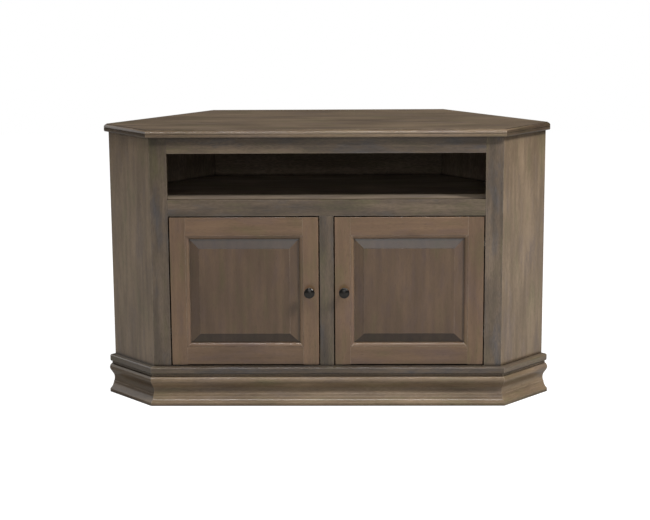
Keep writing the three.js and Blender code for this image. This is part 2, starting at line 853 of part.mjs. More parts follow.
const bayFloor = upright(shelfOutline(behindFrame, jointGap, plainBend), boardThickness);
const floorBoard = upright(shelfOutline(behindFrame, jointGap, postNotch), boardThickness);
const looseFront = behindFrame + hingeCleatDepth + shelfCleatGap;
const looseShelf = upright(shelfOutline(looseFront, shelfPlay, postNotch), boardThickness);
add('media_shelf', bayFloor, innerWood(), 0, 0, shelfBottom);
add('floor_panel', floorBoard, innerWood(), 0, 0, doorOpeningBottom - boardThickness);
add('adjustable_shelf', looseShelf, innerWood(), 0, 0, looseShelfBottom);
addPair('hinge_cleat', hingeCleat(), innerWood, 0, 0, doorOpeningBottom + jointGap);

const sidePins = sidePinPoint();
const [rightSidePin, leftSidePin] = addPair(
  'side_shelf_pin',
  shelfPin(),
  nickel,
  sidePins.x,
  sidePins.y,
  pinHeight(),
);
rightSidePin.rotation.z = -diagonal - Math.PI / 2;
leftSidePin.rotation.z = diagonal + Math.PI / 2;
const rearPins = rearPinPoint();
addPair('rear_shelf_pin', shelfPin(), nickel, rearPins.x, rearPins.y, pinHeight());

addPair('outer_stile', outerStile(), frameWood);
add('top_rail', frameRail(railWidth - jointGap), frameWood(), 0, 0, bayTop);
add('middle_rail', frameRail(railWidth), frameWood(), 0, 0, doorOpeningTop);
add('bottom_rail', frameRail(bottomRailWidth), frameWood(), 0, 0, caseBottom);
const centerHalf = centerStileWidth / 2;
const centerHeight = doorOpeningHeight - 2 * jointGap;
const centerStile = box(-centerHalf, 0, 0, centerHalf, boardThickness, centerHeight);
add('center_stile', centerStile, frameWood(), 0, 0, doorOpeningBottom + jointGap);

add('base_front', frontRun(baseProfile(), baseHeight), caseWood());
addPair('base_side', sideMouldingRun(baseProfile(), baseHeight), caseWood);
add('cap_front', frontRun(capProfile(), capHeight), frameWood(), 0, 0, capBottom);
addPair('cap_side', sideMouldingRun(capProfile(), capHeight), frameWood, 0, 0, capBottom);

addPair('door_hinge_stile', doorHingeStile(), doorWood, 0, 0, doorBottom);
addPair('door_meeting_stile', doorMeetingStile(), doorWood, 0, 0, doorBottom);
addPair('door_bottom_rail', doorRail((width) => width), doorWood, 0, 0, doorBottom);
addPair('door_top_rail', doorRail((width) => doorHeight - width), doorWood, 0, 0, doorBottom);
addPair('door_panel', doorPanel(), doorWood, 0, 0, doorBottom);
const knobX = doorInner + knobInset;
const knobZ = doorBottom + knobHeight;
addPair('knob', tidy(knob()), bronze, knobX, -jointGap, knobZ);
addPair('knob_screw', tidy(knobScrew()), nickel, knobX, 0, knobZ);

for (const [level, height] of Object.entries(hingeHeights)) {
  const z = doorBottom + height;
  addPair(`${level}_hinge_cup`, hingeCup(), nickel, doorOuter, 0, z);
  addPair(`${level}_hinge_arm`, hingeArm(), nickel, doorOuter, 0, z);
  addPair(`${level}_hinge_plate`, hingePlate(), nickel, doorOuter, 0, z);
  addPair(`${level}_hinge_link`, hingeLink(), nickel, doorOuter - armPivotInset, armPivotDepth, z);
}

export default cabinet;
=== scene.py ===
"""Looks for a corner television cabinet in stained maple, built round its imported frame.

Lengths are in metres, in the frame's axes: +Z is up, and the doors face -Y. Heights and
straight boards come from the frame's nodes, and outlines with slanted sides from Plan.
"""

import logging
import math
from collections.abc import Iterable, Iterator, Mapping, Sequence
from dataclasses import dataclass, field, replace
from enum import Enum
from functools import cache
from itertools import count

import bmesh
import bpy
from bmesh.types import BMEdge, BMesh, BMFace, BMVert
from mathutils import Matrix, Vector


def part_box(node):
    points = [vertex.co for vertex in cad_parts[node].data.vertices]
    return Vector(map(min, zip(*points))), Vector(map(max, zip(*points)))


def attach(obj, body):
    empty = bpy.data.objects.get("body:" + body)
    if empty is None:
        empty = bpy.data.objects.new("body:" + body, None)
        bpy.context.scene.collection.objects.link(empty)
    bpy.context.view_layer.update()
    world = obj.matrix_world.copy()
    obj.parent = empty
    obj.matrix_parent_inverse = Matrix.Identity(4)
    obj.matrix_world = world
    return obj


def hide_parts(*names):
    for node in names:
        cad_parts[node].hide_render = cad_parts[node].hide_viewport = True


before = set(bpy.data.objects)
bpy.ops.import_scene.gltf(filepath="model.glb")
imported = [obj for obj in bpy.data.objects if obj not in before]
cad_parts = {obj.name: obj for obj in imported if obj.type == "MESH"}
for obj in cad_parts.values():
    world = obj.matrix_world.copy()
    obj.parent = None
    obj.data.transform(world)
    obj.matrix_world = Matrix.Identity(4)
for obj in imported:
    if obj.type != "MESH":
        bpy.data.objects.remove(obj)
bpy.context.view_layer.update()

log = logging.getLogger("corner_cabinet")

Colour = tuple[float, float, float, float]
Point = tuple[float, float, float]
Pair = tuple[float, float]
Socket = bpy.types.NodeSocket
Node = bpy.types.Node
Material = bpy.types.Material

WELD = 1e-6
SMOOTH_TURN = math.radians(32)
CRISP_TURN = math.radians(8)
EASED_TURN = math.radians(35)
QUARTER = 90
WHITE: Colour = (1, 1, 1, 1)


# Names


class Hand(Enum):
    """Which side of the cabinet a piece is on, seen from the front."""

    RIGHT = 1
    LEFT = -1

    def __str__(self) -> str:
        """The word that names of pieces and nodes start with."""
        return self.name.lower()


class Slot(Enum):
    """The record's material slots."""

    CASE = "case_wood"
    FRAME = "frame_wood"
    DOOR = "door_wood"
    INNER = "inner_wood"
    BACK = "back_plywood"
    BRONZE = "bronze"
    NICKEL = "nickel"


class Grain(Enum):
    """Which way the grain runs, as the turn that lays it along the pattern's X."""

    ACROSS = (0, 0, 0)
    UP = (0, math.pi / 2, 0)
    ALONG_RIGHT = (0, 0, -math.pi / 4)
    ALONG_LEFT = (0, 0, math.pi / 4)


CABINET = "cabinet"


# Plan


@dataclass(frozen=True)
class Wall:
    """A line in plan, square to an outward angle, at a distance from the origin."""

    angle: float
    distance: float

    @classmethod
    def through(cls, angle: float, point: Vector) -> "Wall":
        """The wall that faces an angle in radians and passes through a point."""
        return cls(angle, math.cos(angle) * point.x + math.sin(angle) * point.y)

    @property
    def outward(self) -> Vector:
        """The unit direction that the wall faces."""
        return Vector((math.cos(self.angle), math.sin(self.angle), 0))

    def inset(self, depth: float) -> "Wall":
        """The wall moved inwards by a depth."""
        return Wall(self.angle, self.distance - depth)

    def turned_about(self) -> "Wall":
        """The same line, facing the other way."""
        return Wall(self.angle + math.pi, -self.distance)

    def on_left(self) -> "Wall":
        """The wall's mirror image on the left half."""
        return Wall(math.pi - self.angle, self.distance)

    def meet(self, other: "Wall") -> Vector:
        """The point where this wall crosses another one.

        Args:
            other: a wall that is not parallel to this one.

        Returns:
            The crossing point, at height 0.
        """
        a, b = self.outward, other.outward
        turn = a.x * b.y - a.y * b.x
        x = (self.distance * b.y - other.distance * a.y) / turn
        y = (a.x * other.distance - b.x * self.distance) / turn
        return Vector((x, y, 0))


@dataclass(frozen=True)
class Plan:
    """The plan's right half: a front, a side and a back at 45 degrees, and a rear."""

    front_width: float = 0.986
    side_width: float = 0.1845
    rear_width: float = 0.694
    board: float = 0.019
    back_board: float = 0.006
    stile_width: float = 0.0485
    side_lip: float = 0.009
    post_leg: float = 0.042
    cleat_depth: float = 0.066
    cleat_gap: float = 0.005
    shelf_play: float = 0.002
    gap: float = 0.0002
    front_y: float = field(default_factory=lambda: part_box("center_stile")[0].y)

    @property
    def back_inset(self) -> float:
        """The depth of a back panel with the gap before it."""
        return self.back_board + self.gap

    @property
    def front_corner(self) -> Vector:
        """The front corner of the face frame."""
        return Vector((self.front_width / 2, self.front_y, 0))

    @property
    def outer_corner(self) -> Vector:
        """The corner between side and back."""
        run = self.side_width * math.cos(math.pi / 4)
        return self.front_corner + Vector((run, run, 0))

    @property
    def rear_corner(self) -> Vector:
        """The corner between back and rear."""
        run = self.outer_corner.x - self.rear_width / 2
        return self.outer_corner + Vector((-run, run, 0))

    @property
    def opening(self) -> Wall:
        """The inner edge of the outer stile."""
        return Wall(0, self.front_width / 2 - self.stile_width)

    @property
    def front(self) -> Wall:
        """The front of the face frame."""
        return Wall.through(-math.pi / 2, self.front_corner)

    @property
    def side(self) -> Wall:
        """The outside of the side panel."""
        return Wall.through(-math.pi / 4, self.outer_corner)

    @property
    def back(self) -> Wall:
        """The outside of the back panel."""
        return Wall.through(math.pi / 4, self.outer_corner)

    @property
    def rear(self) -> Wall:
        """The outside of the rear panel."""
        return Wall.through(math.pi / 2, self.rear_corner)

    @property
    def front_mitre(self) -> Wall:
        """The mitre at the front corner, facing away from the middle."""
        return Wall.through(math.pi / 8, self.front_corner)

    @property
    def rear_mitre(self) -> Wall:
        """The mitre between back and rear, facing away from the middle."""
        return Wall.through(-math.pi / 8, self.rear_corner)


def corners(*walls: Wall) -> list[Vector]:
    """The points where each wall meets the next one."""
    return [wall.meet(following) for wall, following in zip(walls, walls[1:])]


# Shapes


def verts_of(geom: Iterable) -> list[BMVert]:
    """The vertices in an operator's result."""
    return [item for item in geom if isinstance(item, BMVert)]


def edges_of(geom: Iterable) -> list[BMEdge]:
    """The edges in an operator's result."""
    return [item for item in geom if isinstance(item, BMEdge)]


def closed(bm: BMesh) -> BMesh:
    """Merges doubles and turns the faces outwards.

    Args:
        bm: the shape.

    Returns:
        The same mesh.
    """
    bmesh.ops.remove_doubles(bm, verts=bm.verts, dist=WELD)
    bmesh.ops.recalc_face_normals(bm, faces=bm.faces)
    if bm.calc_volume(signed=True) < 0:
        bmesh.ops.reverse_faces(bm, faces=bm.faces)
    return bm


def mesh_of(name: str, bm: BMesh) -> bpy.types.Mesh:
    """Makes a mesh of a shape.

    Args:
        name: the mesh's name.
        bm: the shape; it is used up.

    Returns:
        The mesh.
    """
    mesh = bpy.data.meshes.new(name)
    bm.to_mesh(mesh)
    bm.free()
    return mesh


def placed(name: str, data: bpy.types.ID) -> bpy.types.Object:
    """Makes an object of its data and puts it in the scene.

    Args:
        name: the object's name.
        data: its mesh, light or camera.

    Returns:
        The object.
    """
    made = bpy.data.objects.new(name, data)
    bpy.context.scene.collection.objects.link(made)
    return made


def moved(bm: BMesh, by: Sequence[float]) -> BMesh:
    """Moves a whole shape."""
    bmesh.ops.translate(bm, vec=by, verts=bm.verts)
    return bm


def turned(bm: BMesh, angle: float, axis: str) -> BMesh:
    """Turns a whole shape about an axis through the origin.

    Args:
        bm: the shape.
        angle: the angle in radians.
        axis: the letter of the axis.

    Returns:
        The same mesh.
    """
    turn = Matrix.Rotation(angle, 3, axis)
    bmesh.ops.rotate(bm, cent=(0, 0, 0), matrix=turn, verts=bm.verts)
    return bm


def flipped(bm: BMesh, axis: str) -> BMesh:
    """Mirrors a whole shape along an axis.

    Args:
        bm: the shape.
        axis: the letter of the axis whose direction is reversed.

    Returns:
        The same mesh, with its faces outwards.
    """
    factors = [-1 if letter == axis else 1 for letter in "XYZ"]
    bmesh.ops.scale(bm, vec=factors, verts=bm.verts)
    return closed(bm)


def handed(bm: BMesh, hand: Hand) -> BMesh:
    """The shape of a right-hand piece, made for either hand."""
    return flipped(bm, "X") if hand is Hand.LEFT else bm


def both_halves(points: Sequence[Vector]) -> list[Vector]:
    """The points of the right half, then those of the left half, as one outline."""
    left = [Vector((-p.x, p.y, p.z)) for p in points]
    return [*points, *reversed(left)]


def raised(bm: BMesh, faces: Sequence[BMFace], by: Sequence[float]) -> list:
    """Extrudes faces along a vector.

    Args:
        bm: the shape.
        faces: its faces to extrude.
        by: how far they go.

    Returns:
        The new geometry.
    """
    grown = bmesh.ops.extrude_face_region(bm, geom=faces)["geom"]
    bmesh.ops.translate(bm, vec=by, verts=verts_of(grown))
    return grown


def prism(points: Sequence[Vector], low: float, high: float) -> BMesh:
    """Raises a flat outline between two heights.

    Args:
        points: the corners of the outline, in order.
        low: the height of its bottom.
        high: the height of its top.

    Returns:
        The closed shape.
    """
    bm = bmesh.new()
    face = bm.faces.new([bm.verts.new((p.x, p.y, low)) for p in points])
    raised(bm, [face], (0, 0, high - low))
    return closed(bm)


def block(low: Vector, high: Vector) -> BMesh:
    """A rectangular block between two corners.

    Args:
        low: its lowest corner.
        high: its highest corner.

    Returns:
        The closed shape.
    """
    bm = bmesh.new()
    bmesh.ops.create_cube(bm, size=1)
    bmesh.ops.scale(bm, vec=high - low, verts=bm.verts)
    return moved(bm, (low + high) / 2)


def rod(radius: float, start: Vector, end: Vector, steps: int) -> BMesh:
    """A round rod along Y between two points.

    Args:
        radius: its radius.
        start: the middle of its front end.
        end: the middle of its rear end.
        steps: the number of its sides.

    Returns:
        The closed shape.
    """
    bm = bmesh.new()
    bmesh.ops.create_cone(
        bm,
        cap_ends=True,
        segments=steps,
        radius1=radius,
        radius2=radius,
        depth=(end - start).length,
    )
    return moved(turned(bm, math.pi / 2, "X"), (start + end) / 2)


def eased(
    bm: BMesh,
    radius: float,
    edges: Sequence[BMEdge] | None = None,
    segments: int = 2,
    clamp: bool = True,
) -> BMesh:
    """Rounds some edges.

    Args:
        bm: the shape.
        radius: the width of the rounding.
        edges: the edges, or None for all that turn sharply.
        segments: the number of its steps.
        clamp: whether it is narrowed where there is no room.

    Returns:
        The same mesh.
    """
    if edges is None:
        edges = [edge for edge in bm.edges if edge.calc_face_angle(0) > EASED_TURN]
    bmesh.ops.bevel(
        bm,
        geom=edges,
        offset=radius,
        segments=segments,
        profile=0.5,
        affect="EDGES",
        clamp_overlap=clamp,
        material=-1,
    )
    return bm


def trimmed(bm: BMesh, *walls: Wall, filled: bool = True) -> BMesh:
    """Cuts away what lies outside some walls.

    Args:
        bm: the shape.
        walls: the walls, whose outer sides are removed.
        filled: whether the cuts are closed.

    Returns:
        The same mesh.
    """
    for wall in walls:
        cut = bmesh.ops.bisect_plane(
            bm,
            geom=[*bm.verts, *bm.edges, *bm.faces],
            dist=WELD,
            plane_co=wall.outward * wall.distance,
            plane_no=wall.outward,
            clear_outer=True,
        )
        if filled:
            bmesh.ops.holes_fill(bm, edges=edges_of(cut["geom_cut"]), sides=0)
    return closed(bm)


def against(bm: BMesh, wall: Wall) -> BMesh:
    """Turns and moves a shape that faces -Y, so that it faces out from a wall."""
    facing = turned(bm, wall.angle + math.pi / 2, "Z")
    return moved(facing, wall.outward * wall.distance)


def united(*shapes: BMesh) -> BMesh:
    """Puts several shapes in one mesh.

    Args:
        shapes: the shapes; all but the first are used up.

    Returns:
        The first shape's mesh.
    """
    first, *others = shapes
    for other in others:
        mesh = mesh_of("joining", other)
        first.from_mesh(mesh)
        bpy.data.meshes.remove(mesh)
    return first


def carved(bm: BMesh, *cutters: BMesh) -> BMesh:
    """Cuts closed shapes out of another one.

    Args:
        bm: the shape that keeps its rest.
        cutters: the shapes that are removed; they are used up.

    Returns:
        A new mesh of the rest.
    """
    made = [placed("carving", mesh_of("carving", source)) for source in (bm, *cutters)]
    kept, *gone = made
    for cutter in gone:
        cut = kept.modifiers.new("cut", "BOOLEAN")
        cut.operation = "DIFFERENCE"
        cut.solver = "MANIFOLD"
        cut.object = cutter
    graph = bpy.context.evaluated_depsgraph_get()
    rest = bmesh.new()
    rest.from_mesh(kept.evaluated_get(graph).data)
    for thing in made:
        mesh = thing.data
        bpy.data.objects.remove(thing)
        bpy.data.meshes.remove(mesh)
    closed(rest)
    stray = [face for face in rest.faces if all(e.is_boundary for e in face.edges)]
    bmesh.ops.delete(rest, geom=stray, context="FACES")
    return rest


def around(middle: Pair, radius: float, degrees: float) -> Pair:
    """The point on a circle at an angle, from outwards to upwards."""
    angle = math.radians(degrees)
    return middle[0] + radius * math.cos(angle), middle[1] + radius * math.sin(angle)


class Section:
    """A section drawn by a tip, by its projections towards -Y and its heights."""

    def __init__(self, projection: float, height: float) -> None:
        """Puts the tip at the section's first point.

        Args:
            projection: the point's projection.
            height: its height.
        """
        self.bm = bmesh.new()
        self.first = self.bm.verts.new((0, -projection, height))
        self.tip = self.first

    def line(self, projection: float, height: float) -> "Section":
        """Draws straight to a point.

        Args:
            projection: the point's projection.
            height: its height.

        Returns:
            The section, to draw on.
        """
        grown = bmesh.ops.extrude_vert_indiv(self.bm, verts=[self.tip])
        self.tip = grown["verts"][0]
        self.tip.co = (0, -projection, height)
        return self

    def arc(
        self,
        projection: float,
        height: float,
        degrees: float,
        steps: int,
        flatten: float = 1,
    ) -> "Section":
        """Turns the tip about a centre.

        Args:
            projection: the projection of the centre.
            height: the height of the centre.
            degrees: the turn, positive from outwards to upwards.
            steps: the number of its steps.
            flatten: the ratio of the arc's projections to its heights.

        Returns:
            The section, to draw on.
        """
        self.tip.co.y = (self.tip.co.y + projection) / flatten - projection
        before = set(self.bm.verts) - {self.tip}
        swept = bmesh.ops.spin(
            self.bm,
            geom=[self.tip],
            cent=(0, -projection, height),
            axis=(-1, 0, 0),
            dvec=(0, 0, 0),
            angle=math.radians(degrees),
            space=Matrix(),
            steps=steps,
            use_merge=False,
            use_normal_flip=False,
            use_duplicate=False,
        )
        self.tip = verts_of(swept["geom_last"])[0]
        bmesh.ops.scale(
            self.bm,
            vec=(1, flatten, 1),
            space=Matrix.Translation((0, projection, 0)),
            verts=[vert for vert in self.bm.verts if vert not in before],
        )
        return self

    def bow(self, bend: Pair, end: Pair, steps: int) -> "Section":
        """Draws a curve that leaves towards a bend point and arrives from it.

        Args:
            bend: the projection and height of the bend point.
            end: the projection and height of the end.
            steps: the number of its steps.

        Returns:
            The section, to draw on.
        """
        start = (-self.tip.co.y, self.tip.co.z)
        for step in range(1, steps + 1):
            t = step / steps
            point = [
                (1 - t) ** 2 * a + 2 * t * (1 - t) * b + t**2 * c
                for a, b, c in zip(start, bend, end)
            ]
            self.line(*point)
        return self

    def run(self, length: float) -> BMesh:
        """Closes the section and runs it along X.

        Args:
            length: the length of the run, half of it on each side of the origin.

        Returns:
            The closed shape, which faces -Y.
        """
        self.bm.edges.new((self.tip, self.first))
        bmesh.ops.contextual_create(self.bm, geom=self.bm.edges[:])
        moved(self.bm, (-length / 2, 0, 0))
        raised(self.bm, self.bm.faces[:], (length, 0, 0))
        return closed(self.bm)

    def spun(self, steps: int) -> BMesh:
        """Spins the section about the Y axis, with its heights as radii.

        Args:
            steps: the number of its sides.

        Returns:
            The shape, closed if the section starts and ends at radius 0.
        """
        bmesh.ops.spin(
            self.bm,
            geom=[*self.bm.verts, *self.bm.edges],
            cent=(0, 0, 0),
            axis=(0, 1, 0),
            dvec=(0, 0, 0),
            angle=2 * math.pi,
            space=Matrix(),
            steps=steps,
            use_merge=True,
            use_normal_flip=False,
            use_duplicate=False,
        )
        return closed(self.bm)


# Shader nodes


def srgb(red: int, green: int, blue: int) -> Colour:
    """A colour as a screen shows it.

    Args:
        red: the red, up to 255.
        green: the green, up to 255.
        blue: the blue, up to 255.

    Returns:
        The scene-linear colour.
    """
    shown = [part / 255 for part in (red, green, blue)]
    linear = [
        part / 12.92 if part <= 0.04045 else ((part + 0.055) / 1.055) ** 2.4
        for part in shown
    ]
    return (*linear, 1.0)


class Net:
    """Places shader nodes in a tree and joins them."""

    def __init__(self, tree: bpy.types.NodeTree) -> None:
        """Works on one tree."""
        self.tree = tree

    def fill(self, node: Node, inputs: Mapping) -> None:
        """Joins a node's inputs to sockets, or gives them constants.

        Args:
            node: the node.
            inputs: sockets or constants, by the name or place of the input.
        """
        for name, value in inputs.items():
            if isinstance(value, bpy.types.NodeSocket):
                self.tree.links.new(value, node.inputs[name])
            else:
                node.inputs[name].default_value = value

    def add(self, kind: str, inputs: Mapping, **settings: object) -> Node:
        """Adds a node.

        Args:
            kind: the node's type.
            inputs: sockets or constants, by the name or place of the input.
            settings: the node's own properties.

        Returns:
            The node.
        """
        node = self.tree.nodes.new(kind)
        for name, value in settings.items():
            setattr(node, name, value)
        self.fill(node, inputs)
        return node

    def math(self, operation: str, *values: object) -> Socket:
        """The result of a Math node."""
        node = self.add("ShaderNodeMath", dict(enumerate(values)), operation=operation)
        return node.outputs[0]

    def times(self, first: object, second: object) -> Socket:
        """The product of two values."""
        return self.math("MULTIPLY", first, second)

    def plus(self, first: object, second: object) -> Socket:
        """The sum of two values."""
        return self.math("ADD", first, second)

    def minus(self, first: object, second: object) -> Socket:
        """The first value less the second."""
        return self.math("SUBTRACT", first, second)

    def stretched(self, vector: Socket, scale: Sequence[float]) -> Socket:
        """A vector scaled along each axis."""
        node = self.add("ShaderNodeMapping", {"Vector": vector, "Scale": scale})
        return node.outputs[0]

    def noise(
        self, vector: Socket, scale: float, detail: float, rough: float
    ) -> Socket:
        """The factor of a noise texture."""
        inputs = dict(Vector=vector, Scale=scale, Detail=detail, Roughness=rough)
        return self.add("ShaderNodeTexNoise", inputs).outputs["Fac"]

    def spread(
        self, value: object, low: float, high: float, start: float = 0, end: float = 1
    ) -> Socket:
        """Carries a value from the range low to high over to start to end, clamped."""
        inputs = dict(enumerate((value, low, high, start, end)))
        return self.add("ShaderNodeMapRange", inputs).outputs[0]

    def mix(
        self, share: object, first: object, second: object, how: str = "MIX"
    ) -> Socket:
        """Mixes two colours.

        Args:
            share: the share of the second colour.
            first: the first colour.
            second: the second colour.
            how: the blend type.

        Returns:
            The mixed colour.
        """
        inputs = {0: share, 6: first, 7: second}
        node = self.add("ShaderNodeMix", inputs, data_type="RGBA", blend_type=how)
        return node.outputs[2]


@dataclass(frozen=True)
class Effect:
    """A node group with named inputs and outputs, placed in several materials."""

    name: str
    inputs: Mapping[str, str]
    outputs: Mapping[str, str]

    def begin(self) -> tuple[Net, Node, Node]:
        """Makes the empty group.

        Returns:
            Its net, its input node and its output node.
        """
        tree = bpy.data.node_groups.new(self.name, "ShaderNodeTree")
        for direction, sockets in (("INPUT", self.inputs), ("OUTPUT", self.outputs)):
            for name, kind in sockets.items():
                tree.interface.new_socket(name, in_out=direction, socket_type=kind)
        net = Net(tree)
        return net, net.add("NodeGroupInput", {}), net.add("NodeGroupOutput", {})


@dataclass(frozen=True)
class Pattern:
    """A noise drawn out along a board, with its scales per metre."""

    along: float
    across: float
    detail: float
    rough: float

    def lay(self, net: Net, vector: Socket) -> Socket:
        """The noise's factor at a place on the board."""
        drawn = net.stretched(vector, (self.along, self.across, self.across))
        return net.noise(drawn, 1, self.detail, self.rough)


FLOAT, COLOUR, VECTOR = "NodeSocketFloat", "NodeSocketColor", "NodeSocketVector"
SURFACE = {"Color": COLOUR, "Roughness": FLOAT, "Height": FLOAT}

FIBRE = Pattern(along=7, across=300, detail=3, rough=0.6)
BROAD = Pattern(along=4.5, across=20, detail=5, rough=0.6)
SMALL = Pattern(along=4, across=75, detail=2, rough=0.5)
HUE = Pattern(along=6, across=24, detail=4, rough=0.6)
SPECKS = Pattern(along=60, across=1100, detail=1, rough=0.5)
BAND_STRETCH = (0.16, 1, 1)
BAND_WAVE = {
    "Scale": 34,
    "Distortion": 22,
    "Detail": 2,
    "Detail Scale": 3.4,
    "Detail Roughness": 0.45,
}
BROAD_SHARE, SMALL_SHARE = 0.7, 0.3
BLOTCH_RANGE = (0.3, 0.7)
PORE_RANGE = (0.63, 0.74)


@cache
def board_figure() -> bpy.types.NodeTree:
    """The figure of a maple board: fibres, bands, blotches and pores along its X.

    Returns:
        The node group.
    """
    outputs = dict.fromkeys(("Fibre", "Bands", "Blotch", "Hue", "Pores"), FLOAT)
    effect = Effect("board_figure", {"Vector": VECTOR}, outputs)
    net, given, result = effect.begin()
    vector = given.outputs["Vector"]
    stretched = net.stretched(vector, BAND_STRETCH)
    bands = net.add(
        "ShaderNodeTexWave",
        {"Vector": stretched} | BAND_WAVE,
        wave_type="BANDS",
        bands_direction="Y",
    )
    broad = net.times(BROAD.lay(net, vector), BROAD_SHARE)
    small = net.times(SMALL.lay(net, vector), SMALL_SHARE)
    figure = {
        "Fibre": FIBRE.lay(net, vector),
        "Bands": bands.outputs["Fac"],
        "Blotch": net.spread(net.plus(broad, small), *BLOTCH_RANGE),
        "Hue": HUE.lay(net, vector),
        "Pores": net.spread(SPECKS.lay(net, vector), *PORE_RANGE),
    }
    net.fill(result, figure)
    return net.tree


ARRIS_SAMPLES, CORNER_SHADE_SAMPLES = 6, 8
ARRIS_RANGE = (0.995, 0.86)
# The reach and range of the occlusion mask that paints shade into corners and creases.
CORNER_SHADE_REACH = 0.016
CORNER_SHADE_RANGE = (0.77, 0.44)
RUB_AND_HIGHLIGHT_NOISE = {"scale": 24, "detail": 3, "rough": 0.6}
CLOUD_RANGE = (0.35, 0.65)


@cache
def edge_wear() -> bpy.types.NodeTree:
    """Masks of arrises, lightened for worn wood and as painted highlight, and of corners,
    darkened as painted shade.

    Returns:
        The node group.
    """
    inputs = {"Vector": VECTOR, "Radius": FLOAT}
    effect = Effect("edge_wear", inputs, {"Arris": FLOAT, "Corner": FLOAT})
    net, given, result = effect.begin()
    width = {"Radius": given.outputs["Radius"]}
    soft = net.add("ShaderNodeBevel", width, samples=ARRIS_SAMPLES)
    plain = net.add("ShaderNodeNewGeometry", {})
    normals = {0: soft.outputs[0], 1: plain.outputs["Normal"]}
    dot = net.add("ShaderNodeVectorMath", normals, operation="DOT_PRODUCT")
    turn = net.spread(dot.outputs["Value"], *ARRIS_RANGE)
    # Painted shade: ambient occlusion marks corners, creases and the wood under
    # overhangs.
    reach = {"Distance": CORNER_SHADE_REACH}
    shade = net.add("ShaderNodeAmbientOcclusion", reach, samples=CORNER_SHADE_SAMPLES)
    corner = net.spread(shade.outputs["AO"], *CORNER_SHADE_RANGE)
    # Arrises in patches, for worn wood and a painted highlight.
    rubbed = net.spread(net.noise(given.outputs["Vector"], **RUB_AND_HIGHLIGHT_NOISE), *CLOUD_RANGE)
    arris = net.times(net.times(turn, net.minus(1.0, corner)), rubbed)
    net.fill(result, {"Arris": arris, "Corner": corner})
    return net.tree


@dataclass(frozen=True)
class StainRecipe:
    """The shares that make up a stain, with painted highlight on arrises and painted
    shade in corners, the ranges of its masks and its plain tones.
    """

    edge: float = 0.0026
    bands: float = 0.45
    middle: float = 0.5
    olive: Pair = (0.52, 0.68)
    violet: Pair = (0.48, 0.32)
    tint: float = 0.8
    pores: float = 0.35
    # Painted highlight and worn wood: the share and the pale grey that lighten arrises.
    bare: float = 0.3
    bare_wood: Colour = srgb(176, 166, 152)
    end_grain: Pair = (0.05, 0.26)
    soaked: float = 0.85
    soaked_wood: Colour = srgb(150, 145, 142)
    # Painted shade: the share and colour that darken corners and creases.
    painted_shade_share: float = 0.9
    painted_shade_colour: Colour = srgb(52, 43, 35)
    rough_lines: float = 0.08
    rough_corners: float = 0.15
    pore_depth: float = 0.8


STAIN = StainRecipe()


@cache
def wood_stain() -> bpy.types.NodeTree:
    """Stained and lacquered wood, with painted shade in corners and painted highlight on
    arrises: its colour, roughness and surface height.

    Returns:
        The node group.
    """
    inputs = dict.fromkeys(("Deep", "Mid", "Light", "Olive", "Violet"), COLOUR)
    inputs |= dict.fromkeys(("Figure", "Blotches", "Wear", "Gloss"), FLOAT)
    inputs |= {"Vector": VECTOR, "Normal": VECTOR}
    net, source, result = Effect("wood_stain", inputs, SURFACE).begin()
    given = source.outputs
    board = {"Vector": given["Vector"]}
    wood = net.add("ShaderNodeGroup", board, node_tree=board_figure()).outputs
    board |= {"Radius": STAIN.edge}
    edges = net.add("ShaderNodeGroup", board, node_tree=edge_wear()).outputs
    lines = net.mix(STAIN.bands, wood["Fibre"], wood["Bands"])
    figure = net.times(net.minus(lines, STAIN.middle), given["Figure"])
    patches = net.times(net.minus(wood["Blotch"], STAIN.middle), given["Blotches"])
    level = net.plus(net.plus(figure, patches), STAIN.middle)
    colour = given["Mid"]
    for name, mask in (("Olive", STAIN.olive), ("Violet", STAIN.violet)):
        share = net.times(net.spread(wood["Hue"], *mask), STAIN.tint)
        colour = net.mix(share, colour, given[name])
    for name, end in (("Deep", 0), ("Light", 1)):
        colour = net.mix(net.spread(level, STAIN.middle, end), colour, given[name])
    pores = net.times(wood["Pores"], STAIN.pores)
    colour = net.mix(pores, colour, given["Deep"], "MULTIPLY")
    # Painted highlight and worn wood: arrises lightened towards Light and a pale grey.
    rubbed = net.times(edges["Arris"], given["Wear"])
    colour = net.mix(rubbed, colour, given["Light"])
    colour = net.mix(net.times(rubbed, STAIN.bare), colour, STAIN.bare_wood)
    lengthwise = net.add("ShaderNodeSeparateXYZ", {0: given["Normal"]}).outputs[0]
    end_grain = net.spread(net.math("ABSOLUTE", lengthwise), *STAIN.end_grain)
    soaked = net.times(end_grain, STAIN.soaked)
    colour = net.mix(soaked, colour, STAIN.soaked_wood, "MULTIPLY")
    # Painted shade: corners and creases darkened by the occlusion mask.
    painted_shade_share = net.times(edges["Corner"], STAIN.painted_shade_share)
    rough = net.plus(given["Gloss"], net.times(lines, STAIN.rough_lines))
    surface = {
        "Color": net.mix(painted_shade_share, colour, STAIN.painted_shade_colour, "MULTIPLY"),
        "Roughness": net.plus(rough, net.times(edges["Corner"], STAIN.rough_corners)),
        "Height": net.minus(lines, net.times(wood["Pores"], STAIN.pore_depth)),
    }
    net.fill(result, surface)
    return net.tree


METAL_EDGE = 0.0022
CLOUD_NOISE = {"scale": 130, "detail": 4, "rough": 0.6}
GRIT_NOISE = {"scale": 1500, "detail": 2, "rough": 0.5}
RUBBED_AND_HIGHLIGHT_SHARE = 0.8
CLOUD_ROUGHNESS = (-0.05, 0.09)


